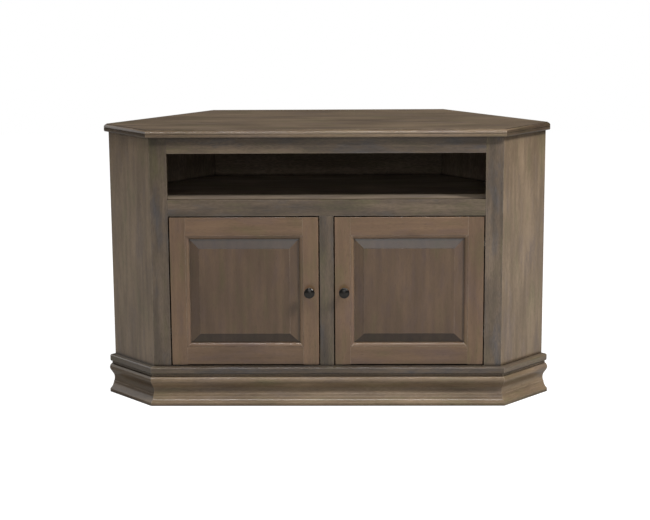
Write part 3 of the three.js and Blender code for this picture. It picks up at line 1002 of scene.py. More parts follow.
@cache
def metal_skin() -> bpy.types.NodeTree:
    """Plating or patina: cloudy tones, arrises lightened for worn metal and as painted
    highlight, and a fine grit.

    Returns:
        The node group.
    """
    inputs = dict.fromkeys(("Base", "Cloudy", "Rubbed"), COLOUR)
    inputs |= {"Gloss": FLOAT, "Vector": VECTOR}
    net, source, result = Effect("metal_skin", inputs, SURFACE).begin()
    given = source.outputs
    skin = {"Vector": given["Vector"], "Radius": METAL_EDGE}
    edges = net.add("ShaderNodeGroup", skin, node_tree=edge_wear())
    cloud = net.spread(net.noise(given["Vector"], **CLOUD_NOISE), *CLOUD_RANGE)
    colour = net.mix(cloud, given["Base"], given["Cloudy"])
    # Painted highlight and worn metal on the arrises.
    rubbed = net.times(edges.outputs["Arris"], RUBBED_AND_HIGHLIGHT_SHARE)
    dulled = net.spread(cloud, 0, 1, *CLOUD_ROUGHNESS)
    surface = {
        "Color": net.mix(rubbed, colour, given["Rubbed"]),
        "Roughness": net.plus(given["Gloss"], dulled),
        "Height": net.noise(given["Vector"], **GRIT_NOISE),
    }
    net.fill(result, surface)
    return net.tree


# Finishes


def new_material(name: str) -> tuple[Material, Net, Node]:
    """Makes a material with its shader.

    Args:
        name: the material's name.

    Returns:
        The material, the net of its nodes and its Principled shader.
    """
    material = bpy.data.materials.new(name)
    material.use_nodes = True
    net = Net(material.node_tree)
    return material, net, material.node_tree.nodes["Principled BSDF"]


# Each board's figure starts at its own spot: its number times a step, within a span.
BOARD_STEPS = (1.37, 2.11, 0.83)
BOARD_SPANS = (5, 7, 3)


@dataclass(frozen=True, kw_only=True)
class Finish:
    """What wood and metal share: a material slot, a fine relief and a clear coat."""

    slot: Slot
    relief: float
    relief_depth: float
    coat: float
    coat_roughness: float

    def dress(self, net: Net, shader: Node, skin: Node) -> None:
        """Gives a shader its effect's colour, roughness and relief, and the coat.

        Args:
            net: the net of the material's nodes.
            shader: its Principled shader.
            skin: the node of its effect.
        """
        relief = {"Height": skin.outputs["Height"], "Strength": self.relief}
        bump = net.add("ShaderNodeBump", relief | {"Distance": self.relief_depth})
        surface = {
            "Base Color": skin.outputs["Color"],
            "Roughness": skin.outputs["Roughness"],
            "Normal": bump.outputs[0],
            "Coat Weight": self.coat,
            "Coat Roughness": self.coat_roughness,
        }
        net.fill(shader, surface)


@dataclass(frozen=True, kw_only=True)
class WoodFinish(Finish):
    """A stain on maple or on plywood, under a satin lacquer."""

    deep: Colour
    mid: Colour
    light: Colour
    olive: Colour
    violet: Colour
    figure: float = 0.24
    blotches: float = 0.9
    # How strongly arrises are lightened, for worn wood and as painted highlight.
    wear: float = 0.9
    gloss: float = 0.36
    specular: float = 0.03
    relief: float = 0.22
    relief_depth: float = 0.0004
    coat: float = 1.0
    coat_roughness: float = 0.21

    def material(self, name: str, grain: Grain, seed: int, tone: float) -> Material:
        """Makes the material of one board.

        Args:
            name: the name of the board.
            grain: the way its grain runs.
            seed: the number that picks its part of the figure.
            tone: its brightness beside the other boards.

        Returns:
            The material.
        """
        material, net, shader = new_material(f"{name}_stain")
        place = net.add("ShaderNodeTexCoord", {}).outputs
        spot = [seed * step % span for step, span in zip(BOARD_STEPS, BOARD_SPANS)]
        turn = {"Rotation": grain.value}
        inputs = {"Vector": place["Object"], "Location": spot} | turn
        vector = net.add("ShaderNodeMapping", inputs)
        inputs = {"Vector": place["Normal"]} | turn
        normal = net.add("ShaderNodeMapping", inputs, vector_type="VECTOR")
        colours = {"Deep": self.deep, "Mid": self.mid, "Light": self.light}
        colours |= {"Olive": self.olive, "Violet": self.violet}
        given = {
            key: [*(part * tone for part in parts), 1]
            for key, (*parts, _) in colours.items()
        }
        given |= {"Figure": self.figure, "Blotches": self.blotches, "Wear": self.wear}
        given |= {"Gloss": self.gloss, "Normal": normal.outputs[0]}
        given |= {"Vector": vector.outputs[0]}
        stain = net.add("ShaderNodeGroup", given, node_tree=wood_stain())
        self.dress(net, shader, stain)
        net.fill(shader, {"Specular IOR Level": self.specular})
        return material


@dataclass(frozen=True, kw_only=True)
class MetalFinish(Finish):
    """A plated or patinated metal."""

    base: Colour
    cloudy: Colour
    rubbed: Colour
    gloss: float
    relief_depth: float = 0.0002
    coat: float = 0.0
    coat_roughness: float = 0.2

    def material(self, name: str) -> Material:
        """Makes the material of one piece.

        Args:
            name: the name of the piece.

        Returns:
            The material.
        """
        material, net, shader = new_material(f"{name}_metal")
        place = net.add("ShaderNodeTexCoord", {}).outputs["Object"]
        given = {"Vector": place, "Base": self.base, "Cloudy": self.cloudy}
        given |= {"Rubbed": self.rubbed, "Gloss": self.gloss}
        skin = net.add("ShaderNodeGroup", given, node_tree=metal_skin())
        self.dress(net, shader, skin)
        net.fill(shader, {"Metallic": 1.0})
        return material


CASE = WoodFinish(
    slot=Slot.CASE,
    deep=srgb(90, 75, 60),
    mid=srgb(114, 97, 78),
    light=srgb(139, 119, 97),
    olive=srgb(107, 97, 73),
    violet=srgb(106, 92, 82),
)
TOP = replace(CASE, figure=0.4, specular=0.0)
BASE = replace(CASE, figure=0.36, coat=0.6)
FACE = WoodFinish(
    slot=Slot.FRAME,
    deep=srgb(62, 55, 48),
    mid=srgb(92, 79, 66),
    light=srgb(118, 102, 85),
    olive=srgb(90, 83, 59),
    violet=srgb(77, 75, 77),
    figure=0.34,
)
DOOR = WoodFinish(
    slot=Slot.DOOR,
    deep=srgb(81, 62, 47),
    mid=srgb(104, 82, 63),
    light=srgb(128, 102, 78),
    olive=srgb(98, 84, 57),
    violet=srgb(98, 78, 69),
    figure=0.14,
    blotches=0.6,
    gloss=0.34,
)
INNER = WoodFinish(
    slot=Slot.INNER,
    deep=srgb(70, 62, 54),
    mid=srgb(92, 82, 71),
    light=srgb(116, 104, 90),
    olive=srgb(88, 83, 66),
    violet=srgb(86, 78, 72),
    wear=0.2,
    gloss=0.45,
    coat=0.4,
)
BACK = WoodFinish(
    slot=Slot.BACK,
    deep=srgb(66, 57, 48),
    mid=srgb(84, 74, 63),
    light=srgb(104, 92, 79),
    olive=srgb(80, 74, 58),
    violet=srgb(80, 70, 62),
    figure=0.8,
    blotches=0.6,
    wear=0.2,
    gloss=0.55,
    coat=0.0,
)
# The knob's pale arrises stand for worn bronze and a painted highlight.
BRONZE = MetalFinish(
    slot=Slot.BRONZE,
    base=srgb(30, 29, 28),
    cloudy=srgb(44, 41, 38),
    rubbed=srgb(146, 140, 130),
    gloss=0.3,
    relief=0.12,
    coat=0.6,
)
NICKEL = MetalFinish(
    slot=Slot.NICKEL,
    base=srgb(186, 184, 178),
    cloudy=srgb(168, 165, 158),
    rubbed=srgb(206, 204, 199),
    gloss=0.24,
    relief=0.05,
)


# Pieces


def finish(
    name: str,
    bm: BMesh,
    material: Material,
    body: str,
    node: str,
    smooth: float = SMOOTH_TURN,
) -> None:
    """Makes a finished piece of a shape, and lets it stand for its node.

    Args:
        name: the name of the piece.
        bm: its shape; it is used up.
        material: its material.
        body: the body that it moves with.
        node: the frame's node that it replaces.
        smooth: the largest turn between faces that is shaded as a curve.
    """
    mesh = mesh_of(name, bm)
    mesh.shade_smooth()
    mesh.set_sharp_from_angle(angle=smooth)
    mesh.materials.append(material)
    piece = placed(name, mesh)
    even = piece.modifiers.new("even_shading", "WEIGHTED_NORMAL")
    even.keep_sharp = True
    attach(piece, body)
    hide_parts(node)
    log.info("%s: %d faces on %s", name, len(mesh.polygons), body)


@dataclass
class Workshop:
    """Gives every shape its finish, and every board a figure of its own."""

    boards: Iterator[int] = field(default_factory=lambda: count(1))

    def wooden(
        self,
        node: str,
        bm: BMesh,
        wood: WoodFinish,
        grain: Grain,
        tone: float = 1.0,
        body: str = CABINET,
        smooth: float = SMOOTH_TURN,
    ) -> None:
        """Makes the board or moulding that stands for a node, with its own figure."""
        material = wood.material(node, grain, next(self.boards), tone)
        finish(f"{node}_wood", bm, material, body, node, smooth)


@dataclass
class Carcass:
    """The case behind the face frame: sides, backs, posts and shelves."""

    plan: Plan
    shop: Workshop
    ease: float = 0.0008

    def wall_board(self, node: str, points: Sequence[Vector], hand: Hand) -> BMesh:
        """The board of a right-hand outline, for either hand, as high as its node."""
        low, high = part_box(node)
        return eased(handed(prism(points, low.z, high.z), hand), self.ease)

    def side_points(self) -> list[Vector]:
        """The side panel, rabbeted at its rear edge for the back panel.

        Returns:
            Its outline for the right hand.
        """
        plan = self.plan
        mitre = plan.front_mitre.inset(-plan.gap / 2)
        rabbet = plan.back.inset(plan.back_inset)
        lip = plan.side.inset(plan.side_lip)
        inside = plan.side.inset(plan.board)
        return corners(mitre, plan.side, plan.back, lip, rabbet, inside, mitre)

    def back_points(self) -> list[Vector]:
        """The back panel, mitred to the rear panel.

        Returns:
            Its outline for the right hand.
        """
        plan = self.plan
        mitre = plan.rear_mitre.inset(-plan.gap / 2)
        edge = plan.side.inset(plan.side_lip + plan.gap)
        inside = plan.back.inset(plan.back_board)
        return corners(edge, plan.back, mitre, inside, edge)

    def post_walls(self, play: float) -> list[Wall]:
        """The rear post's end and face on the back, then its face and end on the rear.

        Args:
            play: how far they are moved away from the post.

        Returns:
            The four walls, in order.
        """
        plan = self.plan
        inset = plan.back_inset
        bend = plan.back.inset(inset).meet(plan.rear.inset(inset))
        leg, depth = plan.post_leg + play, inset + plan.board + play
        return [
            Wall.through(-math.pi / 4, bend).inset(-leg),
            plan.back.inset(depth),
            plan.rear.inset(depth),
            Wall.through(math.pi, bend).inset(-leg),
        ]

    def post_points(self) -> list[Vector]:
        """The rear post: one leg on the back panel and one on the rear panel.

        Returns:
            Its outline for the right hand.
        """
        back = self.plan.back.inset(self.plan.back_inset)
        rear = self.plan.rear.inset(self.plan.back_inset)
        return corners(rear, back, *self.post_walls(0), rear)

    def shelf_points(self, depth: float, play: float, notched: bool) -> list[Vector]:
        """A shelf that fills the inside of the case.

        Args:
            depth: how far its front edge stands behind the face frame's front.
            play: its play at the case.
            notched: whether it is cut out round the rear posts.

        Returns:
            The whole outline.
        """
        plan = self.plan
        side = plan.side.inset(plan.board + play)
        back = plan.back.inset(plan.back_board + play)
        rear = plan.rear.inset(plan.back_board + play)
        front = plan.front.inset(depth)
        posts = self.post_walls(play) if notched else []
        return both_halves(corners(front, side, back, *posts, rear))

    def build(self) -> None:
        """Builds the boards of the case."""
        plan = self.plan
        # The left-hand copies are toned darker than the right-hand ones: painted shade.
        tones = {Hand.RIGHT: 0.9, Hand.LEFT: 0.82}
        # The back panels are toned lighter, the right one most, as painted light inside
        # the bay.
        back_tones = {Hand.RIGHT: 1.9, Hand.LEFT: 1.4}
        for hand in Hand:
            for part, points, wood in (
                ("side_panel", self.side_points(), CASE),
                ("back_panel", self.back_points(), BACK),
                ("rear_post", self.post_points(), INNER),
            ):
                node = f"{hand}_{part}"
                shape = self.wall_board(node, points, hand)
                tone = (back_tones if wood is BACK else tones)[hand]
                self.shop.wooden(node, shape, wood, Grain.UP, tone)
            cleat = f"{hand}_hinge_cleat"
            shape = eased(block(*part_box(cleat)), self.ease)
            self.shop.wooden(cleat, shape, INNER, Grain.UP)
        mitre = plan.rear_mitre.inset(plan.gap / 2)
        rear = corners(plan.rear.inset(plan.back_board), mitre, plan.rear)
        shape = self.wall_board("rear_panel", both_halves(rear), Hand.RIGHT)
        # The rear panel is toned lighter as painted light inside the bay.
        self.shop.wooden("rear_panel", shape, BACK, Grain.ACROSS, tone=1.65)
        behind = plan.board + plan.gap
        loose = behind + plan.cleat_depth + plan.cleat_gap
        for node, depth, play, notched, tone in (
            # The media shelf is toned lighter than the other shelves: painted light on
            # the bay's floor.
            ("media_shelf", behind, plan.gap, False, 1.62),
            ("floor_panel", behind, plan.gap, True, 1.0),
            ("adjustable_shelf", loose, plan.shelf_play, True, 1.0),
        ):
            points = self.shelf_points(depth, play, notched)
            shape = self.wall_board(node, points, Hand.RIGHT)
            self.shop.wooden(node, shape, INNER, Grain.ACROSS, tone)


@dataclass
class TopBoard:
    """The top: a slab with a moulded edge along the front and the sides."""

    plan: Plan
    shop: Workshop
    overhang: float = 0.016
    step_height: float = 0.0016
    step_width: float = 0.001
    round_radius: float = 0.0084
    quirk_depth: float = 0.0012
    quirk_height: float = 0.0016
    band_inset: float = 0.0004
    ease: float = 0.0045
    ease_steps: int = 7
    round_steps: int = 10
    reach: float = 1.0

    def sector(self, wall: Wall, *limits: Wall) -> BMesh:
        """The part of the slab that runs along one wall.

        Args:
            wall: the wall.
            limits: the lines that close the sector in plan.

        Returns:
            The shape, open at the mitres.
        """
        low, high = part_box("top_panel")
        thick = high.z - low.z
        nose = self.overhang
        band = nose - self.band_inset
        shoulder = thick - self.step_height - self.round_radius
        quirk = shoulder - self.quirk_height
        middle = nose - self.round_radius
        section = (
            Section(-self.reach, 0)
            .line(band - self.ease, 0)
            .arc(band - self.ease, self.ease, QUARTER, self.ease_steps)
            .line(band, quirk - self.band_inset)
            .line(nose - self.quirk_depth, quirk)
            .line(nose - self.quirk_depth, shoulder - self.band_inset)
            .line(nose, shoulder)
            .arc(middle, shoulder, QUARTER, self.round_steps)
            .line(middle - self.step_width, thick - self.step_height)
            .line(middle - self.step_width, thick)
            .line(-self.reach, thick)
        )
        slab = moved(against(section.run(2 * self.reach), wall), (0, 0, low.z))
        return trimmed(slab, *limits, filled=False)

    def build(self) -> None:
        """Builds the slab of three mitred sectors."""
        plan = self.plan
        mitre = plan.front_mitre
        front = self.sector(plan.front, mitre, mitre.on_left())
        right = self.sector(plan.side, mitre.turned_about())
        left = flipped(right.copy(), "X")
        whole = closed(united(front, right, left))
        slab = trimmed(whole, plan.back, plan.back.on_left(), plan.rear)
        self.shop.wooden("top_panel", slab, TOP, Grain.ACROSS, tone=0.84)


@dataclass
class FaceFrame:
    """The frame in front of the case: stiles and rails round the bay and the doors."""

    plan: Plan
    shop: Workshop
    ease: float = 0.0006

    def stile_points(self) -> list[Vector]:
        """The outer stile, mitred to the side panel.

        Returns:
            Its outline for the right hand.
        """
        plan = self.plan
        mitre = plan.front_mitre.inset(plan.gap / 2)
        inside = plan.front.inset(plan.board)
        return corners(plan.opening, plan.front, mitre, inside, plan.opening)

    def build(self) -> None:
        """Builds the stiles and the rails."""
        # The left stile is toned darker than the right one: painted shade.
        for hand, tone in ((Hand.RIGHT, 1.0), (Hand.LEFT, 0.76)):
            node = f"{hand}_outer_stile"
            low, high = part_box(node)
            shape = handed(prism(self.stile_points(), low.z, high.z), hand)
            self.shop.wooden(node, eased(shape, self.ease), FACE, Grain.UP, tone)
        for node, grain, tone in (
            ("top_rail", Grain.ACROSS, 0.88),
            ("middle_rail", Grain.ACROSS, 0.88),
            ("bottom_rail", Grain.ACROSS, 0.88),
            ("center_stile", Grain.UP, 0.81),
        ):
            shape = eased(block(*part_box(node)), self.ease)
            self.shop.wooden(node, shape, FACE, grain, tone)


@dataclass
class BaseMoulding:
    """The moulded base and the cap strip on it, round the front and the sides."""

    plan: Plan
    shop: Workshop
    projection: float = 0.0225
    fillet: float = 0.0092
    chamfer: float = 0.0012
    flare_bend: Pair = (0.0102, 0.0175)
    flare_steps: int = 10
    bead: Pair = (0.0084, 0.0305)
    cove_middle: Pair = (0.0291, 0.040)
    cove_radius: float = 0.0237
    cove_turn: Pair = (202, 141)
    cove_steps: int = 12
    torus_middle: Pair = (0.0105, 0.074)
    torus_radius: float = 0.0112
    torus_turn: Pair = (-39, 82)
    torus_steps: int = 16
    neck: float = 0.0122
    cap_projection: float = 0.019
    cap_lower: float = 0.0058
    cap_upper: float = 0.0046
    cap_steps: int = 6

    def base_section(self, height: float) -> Section:
        """The section of the base: fillet, flare, bead, cove, torus and neck.

        Args:
            height: the height of the moulding.

        Returns:
            The section.
        """
        cove, torus = self.cove_middle, self.torus_middle
        cove_start = around(cove, self.cove_radius, self.cove_turn[0])
        torus_start = around(torus, self.torus_radius, self.torus_turn[0])
        return (
            Section(self.plan.gap, 0)
            .line(self.projection, 0)
            .line(self.projection, self.fillet)
            .line(self.projection - self.chamfer, self.fillet + self.chamfer)
            .bow(self.flare_bend, self.bead, self.flare_steps)
            .line(*cove_start)
            .arc(*cove, self.cove_turn[1] - self.cove_turn[0], self.cove_steps)
            .line(*torus_start)
            .arc(*torus, self.torus_turn[1] - self.torus_turn[0], self.torus_steps)
            .line(self.neck, torus[1] + self.torus_radius)
            .line(self.neck, height)
            .line(self.plan.gap, height)
        )

    def cap_section(self, height: float) -> Section:
        """The section of the cap strip, rounded above and below.

        Args:
            height: the height of the strip.

        Returns:
            The section.
        """
        lower = self.cap_projection - self.cap_lower
        upper = self.cap_projection - self.cap_upper
        return (
            Section(self.plan.gap, 0)
            .line(lower, 0)
            .arc(lower, self.cap_lower, QUARTER, self.cap_steps)
            .line(self.cap_projection, height - self.cap_upper)
            .arc(upper, height - self.cap_upper, QUARTER, self.cap_steps)
            .line(self.plan.gap, height)
        )

    def build(self) -> None:
        """Builds the front and side runs of both mouldings."""
        plan = self.plan
        mitre = plan.front_mitre.inset(plan.gap / 2)
        far_mitre = plan.front_mitre.inset(-plan.gap / 2).turned_about()
        length = 2 * plan.front_width
        grains = {Hand.RIGHT: Grain.ALONG_RIGHT, Hand.LEFT: Grain.ALONG_LEFT}
        # The left side runs are toned much darker than the right ones: painted shade.
        tones = {Hand.RIGHT: 0.93, Hand.LEFT: 0.5}
        for part, section, wood, tone in (
            ("base", self.base_section, BASE, 0.97),
            ("cap", self.cap_section, FACE, 0.74),
        ):
            low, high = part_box(f"{part}_front")
            run = moved(section(high.z - low.z).run(length), (0, 0, low.z))
            side_run = run.copy()
            front = trimmed(against(run, plan.front), mitre, mitre.on_left())
            self.shop.wooden(f"{part}_front", front, wood, Grain.ACROSS, tone)
            side = trimmed(against(side_run, plan.side), far_mitre, plan.back)
            for hand in Hand:
                shape = handed(side.copy(), hand)
                node = f"{hand}_{part}_side"
                self.shop.wooden(node, shape, wood, grains[hand], tones[hand])
            side.free()


@dataclass
class Door:
    """One inset door: two stiles, two coped rails and a raised panel, with its knob."""

    hand: Hand
    plan: Plan
    shop: Workshop
    tone: float
    ease: float = 0.0016
    ease_steps: int = 4
    sticking: float = 0.011
    step: float = 0.0012
    round_inset: float = 0.0008
    round_steps: int = 8
    lip: float = 0.0008
    groove_front: float = 0.0084
    groove_width: float = 0.0062
    groove_depth: float = 0.010
    panel_play: float = 0.002
    panel_rim: float = 0.001
    bevel_width: float = 0.0255
    bevel_top: float = 0.0016
    field_front: float = 0.0006
    field_ease: float = 0.0009
    field_steps: int = 3
    cup_inset: float = 0.0225
    cup_pocket: float = 0.0178
    cup_depth: float = 0.0114
    cup_steps: int = 48
    over: float = 0.002

    @property
    def body(self) -> str:
        """The body that the door's pieces ride on."""
        return f"{self.hand}_door"

    @property
    def low(self) -> Vector:
        """The inner lower corner of the right door's front."""
        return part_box("right_door_meeting_stile")[0]

    @property
    def high(self) -> Vector:
        """The outer upper corner of the right door's back."""
        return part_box("right_door_hinge_stile")[1]

    def frame_section(self, width: float, grooved: bool = True) -> Section:
        """A frame member: its depth from the front, its width from the outer edge.

        Args:
            width: the member's whole width.
            grooved: whether it has the groove for the panel.

        Returns:
            The section.
        """
        flat = width - self.sticking
        board = self.plan.board
        bottom = self.groove_front - self.lip
        start = flat + self.round_inset
        flatten = (bottom - self.step) / (width - self.round_inset - start)
        section = (
            Section(-board, 0)
            .line(-self.ease, 0)
            .arc(-self.ease, self.ease, QUARTER, self.ease_steps)
            .line(0, flat)
            .line(-self.step, flat)
            .line(-self.step, start)
            .arc(-bottom, start, QUARTER, self.round_steps, flatten)
            .line(-bottom, width)
        )
        if grooved:
            root = width - self.groove_depth
            back = self.groove_front + self.groove_width
            section.line(-self.groove_front, width).line(-self.groove_front, root)
            section.line(-back, root).line(-back, width)
        return section.line(-board, width)

    def stile(
        self, width: float, outer: bool, grooved: bool = True, gap: float = 0
    ) -> BMesh:
        """A stile of the right door, or the shape that copes a rail to it.

        Args:
            width: its width.
            outer: whether it is the stile with the hinges.
            grooved: whether it has the groove for the panel.
            gap: how far it is grown towards the rail.

        Returns:
            The shape.
        """
        low, high = self.low, self.high
        extra = 0 if grooved else 2 * self.over
        bar = self.frame_section(width, grooved).run(high.z - low.z + extra)
        turned(bar, math.pi / 2 * (-1 if outer else 1), "Y")
        edge = high.x - gap if outer else low.x + gap
        return moved(bar, (edge, low.y, (low.z + high.z) / 2))

    def pockets(self) -> list[BMesh]:
        """The round pockets in the back of the hinge stile for the hinge cups.

        Returns:
            The shapes to carve out.
        """
        made = []
        for level in ("lower", "upper"):
            cup_low, cup_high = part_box(f"right_{level}_hinge_cup")
            middle = (cup_low.z + cup_high.z) / 2
            x = self.high.x - self.cup_inset
            floor = self.high.y - self.cup_depth - self.plan.gap
            start = Vector((x, floor, middle))
            end = Vector((x, self.high.y + self.over, middle))
            made.append(rod(self.cup_pocket, start, end, self.cup_steps))
        return made

    def rail(self, top: bool, width: float, stile_width: float) -> BMesh:
        """A rail of the right door, coped over the moulded edges of both stiles.

        Args:
            top: whether it is the top rail.
            width: its width.
            stile_width: the width of the stiles.

        Returns:
            The shape.
        """
        low, high = self.low, self.high
        flat = stile_width - self.sticking
        bar = self.frame_section(width).run(high.x - low.x - 2 * flat)
        if top:
            flipped(bar, "Z")
        height = high.z if top else low.z
        moved(bar, ((low.x + high.x) / 2, low.y, height))
        gap = self.plan.gap
        copes = [self.stile(stile_width, outer, False, gap) for outer in (True, False)]
        return carved(bar, *copes)

    def panel(self, width: float, rail_width: float) -> BMesh:
        """The right door's raised panel.

        Args:
            width: the width of the stiles.
            rail_width: the width of the rails.

        Returns:
            The shape.
        """
        low, high = self.low, self.high
        gap = self.plan.gap
        tuck = self.groove_depth - self.panel_play
        front = self.groove_front + gap
        back = self.groove_front + self.groove_width - gap
        start = Vector((low.x + width - tuck, low.y + front, low.z + rail_width - tuck))
        end = Vector((high.x - width + tuck, low.y + back, high.z - rail_width + tuck))
        bm = block(start, end)
        face = min(bm.faces, key=lambda each: each.calc_center_median().y)
        rim = tuck + self.panel_rim
        bmesh.ops.inset_region(bm, faces=[face], thickness=rim, use_even_offset=True)
        rise = front - self.bevel_top
        bmesh.ops.inset_region(
            bm,
            faces=[face],
            thickness=self.bevel_width,
            depth=rise,
            use_even_offset=True,
        )
        grown = raised(bm, [face], (0, self.field_front - self.bevel_top, 0))
        bmesh.ops.delete(bm, geom=[face], context="FACES_ONLY")
        outline = edges_of(grown)
        return closed(eased(bm, self.field_ease, outline, self.field_steps, False))

    def build(self) -> None:
        """Builds the door's wood and its knob."""
        hinge_low, hinge_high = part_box("right_door_hinge_stile")
        rail_low, rail_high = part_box("right_door_bottom_rail")
        width = hinge_high.x - hinge_low.x
        rail_width = rail_high.z - rail_low.z
        hinge_stile = carved(self.stile(width, True), *self.pockets())
        shapes = {
            "hinge_stile": (hinge_stile, Grain.UP, 1.0),
            "meeting_stile": (self.stile(width, False), Grain.UP, 1.03),
            "bottom_rail": (self.rail(False, rail_width, width), Grain.ACROSS, 0.94),
            "top_rail": (self.rail(True, rail_width, width), Grain.ACROSS, 1.05),
            "panel": (self.panel(width, rail_width), Grain.UP, 0.7),
        }
        for part, (shape, grain, tone) in shapes.items():
            node = f"{self.hand}_door_{part}"
            shape = handed(shape, self.hand)
            tone *= self.tone
            smooth = CRISP_TURN if part == "panel" else SMOOTH_TURN
            self.shop.wooden(node, shape, DOOR, grain, tone, self.body, smooth)
        self.build_knob()

    def build_knob(self) -> None:
        """Builds the turned knob: a foot, a neck and a domed cap."""
        node = f"{self.hand}_knob"
        low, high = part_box(node)
        radius = (high.x - low.x) / 2
        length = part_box("right_door_meeting_stile")[0].y - self.plan.gap - low.y
        shape = Knob(radius, length).shape()
        middle = Vector(((low.x + high.x) / 2, low.y + length, (low.z + high.z) / 2))
        finish(
            f"{node}_turned",
            moved(shape, middle),
            BRONZE.material(node),
            self.body,
            node,
        )


@dataclass
class Knob:
    """A turned knob, with its foot on the door at the origin."""

    radius: float
    length: float
    foot: float = 0.0085
    foot_length: float = 0.0026
    foot_steps: int = 4
    neck: float = 0.0056
    neck_start: float = 2.4
    neck_steps: int = 6
    cap_depth: float = 0.011
    flare_steps: int = 8
    rim_steps: int = 6
    dome_steps: int = 14
    sides: int = 56

    def shape(self) -> BMesh:
        """The knob's shape, with its axis along Y and its cap towards -Y.

        Returns:
            The closed shape.
        """
        rim = self.cap_depth / 4
        cap = self.length - self.cap_depth
        ease = self.foot_length / 3
        dome = self.cap_depth - 2 * rim
        neck_start = (self.neck_start * self.foot_length, self.neck)
        section = (
            Section(0, 0)
            .line(0, self.foot - ease)
            .arc(ease, self.foot - ease, -QUARTER, self.foot_steps)
            .line(self.foot_length - ease, self.foot)
            .arc(self.foot_length - ease, self.foot - ease, -QUARTER, self.foot_steps)
            .bow((self.foot_length, self.neck), neck_start, self.neck_steps)
            .line(cap - rim, self.neck)
            .bow((cap, self.neck), (cap, self.radius - rim), self.flare_steps)
            .arc(cap + rim, self.radius - rim, -QUARTER, self.rim_steps)
            .line(cap + 2 * rim, self.radius)
            .arc(cap + 2 * rim, 0, -QUARTER, self.dome_steps, dome / self.radius)
        )
        return section.spun(self.sides)


@dataclass(frozen=True)
class Hardware:
    """The hinges, knob screws and shelf pins: the frame's own shapes, plated."""

    hinge: tuple[str, ...] = ("hinge_cup", "hinge_arm", "hinge_plate", "hinge_link")
    small: tuple[str, ...] = ("knob_screw", "shelf_pin")

    def build(self) -> None:
        """Plates every metal node that is not replaced."""
        plated = NICKEL.material("hardware")
        for node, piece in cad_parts.items():
            if any(word in node for word in self.hinge + self.small):
                piece.material_slots[0].material = plated


# Studio


@dataclass(frozen=True)
class Lamp:
    """A soft area lamp that points at the cabinet."""

    name: str
    place: Point
    width: float
    height: float
    power: float
    aim: Point = (0, 0, 0.4)

    def build(self) -> None:
        """Hangs the lamp."""
        light = bpy.data.lights.new(self.name, "AREA")
        light.shape = "ELLIPSE" if self.width == self.height else "RECTANGLE"
        light.size = self.width
        light.size_y = self.height
        light.energy = self.power
        lamp = placed(self.name, light)
        lamp.location = self.place
        way = Vector(self.aim) - Vector(self.place)
        lamp.rotation_euler = way.to_track_quat("-Z", "Y").to_euler()


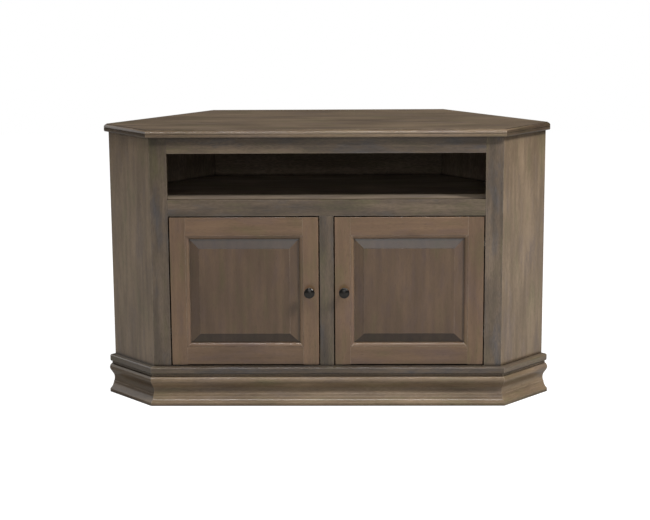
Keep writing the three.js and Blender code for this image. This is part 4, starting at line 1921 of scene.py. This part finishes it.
@dataclass(frozen=True)
class Studio:
    """The floor, the lamps, the white surroundings and the camera."""

    lamps: tuple[Lamp, ...] = (
        Lamp("key", (3.1, -1.85, 3.9), width=1.1, height=1.1, power=258),
        Lamp("strip", (0.0, -2.45, 4.6), width=2.8, height=0.2, power=92),
        Lamp("fill", (-4.2, 0.9, 3.4), width=6.4, height=6.4, power=172),
        Lamp("upper front", (0.08, -4.8, 2.35), width=3.4, height=0.9, power=24),
        Lamp("front", (0.3, -5.0, 1.2), width=1.8, height=1.8, power=12),
    )
    ambient: float = 0.05
    floor_size: float = 5.0
    floor_drop: float = 0.0005
    floor_glow: float = 0.94
    floor_roughness: float = 0.9
    floor_paint: Colour = srgb(186, 184, 180)
    floor_seen: Colour = srgb(130, 130, 130)
    camera_place: Point = (0.0806, -4.5423, 1.4299)
    yaw: float = math.radians(-1.103)
    pitch: float = math.radians(10.712)
    roll: float = math.radians(-0.389)
    lens: float = 88.01
    shift_y: float = -0.1

    def build(self) -> None:
        """Builds everything round the cabinet."""
        for lamp in self.lamps:
            lamp.build()
        self.build_floor()
        self.build_world()
        self.build_camera()
        bpy.context.scene.view_settings.view_transform = "Standard"

    def build_floor(self) -> None:
        """Lays a pale floor that looks white and keeps a faint shadow."""
        bm = bmesh.new()
        bmesh.ops.create_grid(bm, x_segments=1, y_segments=1, size=self.floor_size)
        moved(bm, (0, 0, -self.floor_drop))
        mesh = mesh_of("floor", bm)
        material, net, shader = new_material("floor_paint")
        camera = net.add("ShaderNodeLightPath", {}).outputs["Is Camera Ray"]
        paint = {
            "Base Color": net.mix(camera, self.floor_paint, self.floor_seen),
            "Roughness": self.floor_roughness,
            "Specular IOR Level": 0.0,
            "Emission Color": WHITE,
            "Emission Strength": net.times(camera, self.floor_glow),
        }
        net.fill(shader, paint)
        mesh.materials.append(material)
        placed("floor", mesh)

    def build_world(self) -> None:
        """Makes the surroundings white to look at, and softer as a light."""
        world = bpy.data.worlds.new("surroundings")
        bpy.context.scene.world = world
        world.use_nodes = True
        net = Net(world.node_tree)
        world.node_tree.nodes.clear()
        seen = net.add("ShaderNodeLightPath", {}).outputs["Is Camera Ray"]
        soft, full = (
            net.add("ShaderNodeBackground", {"Color": WHITE, "Strength": strength})
            for strength in (self.ambient, 1.0)
        )
        both = {0: seen, 1: soft.outputs[0], 2: full.outputs[0]}
        shown = net.add("ShaderNodeMixShader", both)
        net.add("ShaderNodeOutputWorld", {"Surface": shown.outputs[0]})

    def build_camera(self) -> None:
        """Stands the camera where the photograph was taken from."""
        ahead = Vector(
            (
                math.sin(self.yaw) * math.cos(self.pitch),
                math.cos(self.yaw) * math.cos(self.pitch),
                -math.sin(self.pitch),
            )
        )
        level = Vector((math.cos(self.yaw), -math.sin(self.yaw), 0))
        up = level.cross(ahead)
        right = level * math.cos(self.roll) + up * math.sin(self.roll)
        top = up * math.cos(self.roll) - level * math.sin(self.roll)
        lens = bpy.data.cameras.new("camera")
        lens.lens = self.lens
        lens.sensor_fit = "HORIZONTAL"
        lens.shift_y = self.shift_y
        camera = placed("camera", lens)
        axes = Matrix((right, top, -ahead)).transposed().to_4x4()
        camera.matrix_world = Matrix.Translation(self.camera_place) @ axes
        bpy.context.scene.camera = camera


def main() -> None:
    """Builds the cabinet and its studio."""
    logging.basicConfig(level=logging.INFO, format="%(name)s: %(message)s")
    plan = Plan()
    shop = Workshop()
    Carcass(plan, shop).build()
    TopBoard(plan, shop).build()
    FaceFrame(plan, shop).build()
    BaseMoulding(plan, shop).build()
    Door(Hand.RIGHT, plan, shop, tone=0.97).build()
    Door(Hand.LEFT, plan, shop, tone=0.92).build()
    Hardware().build()
    Studio().build()


if __name__ == "__main__":
    main()
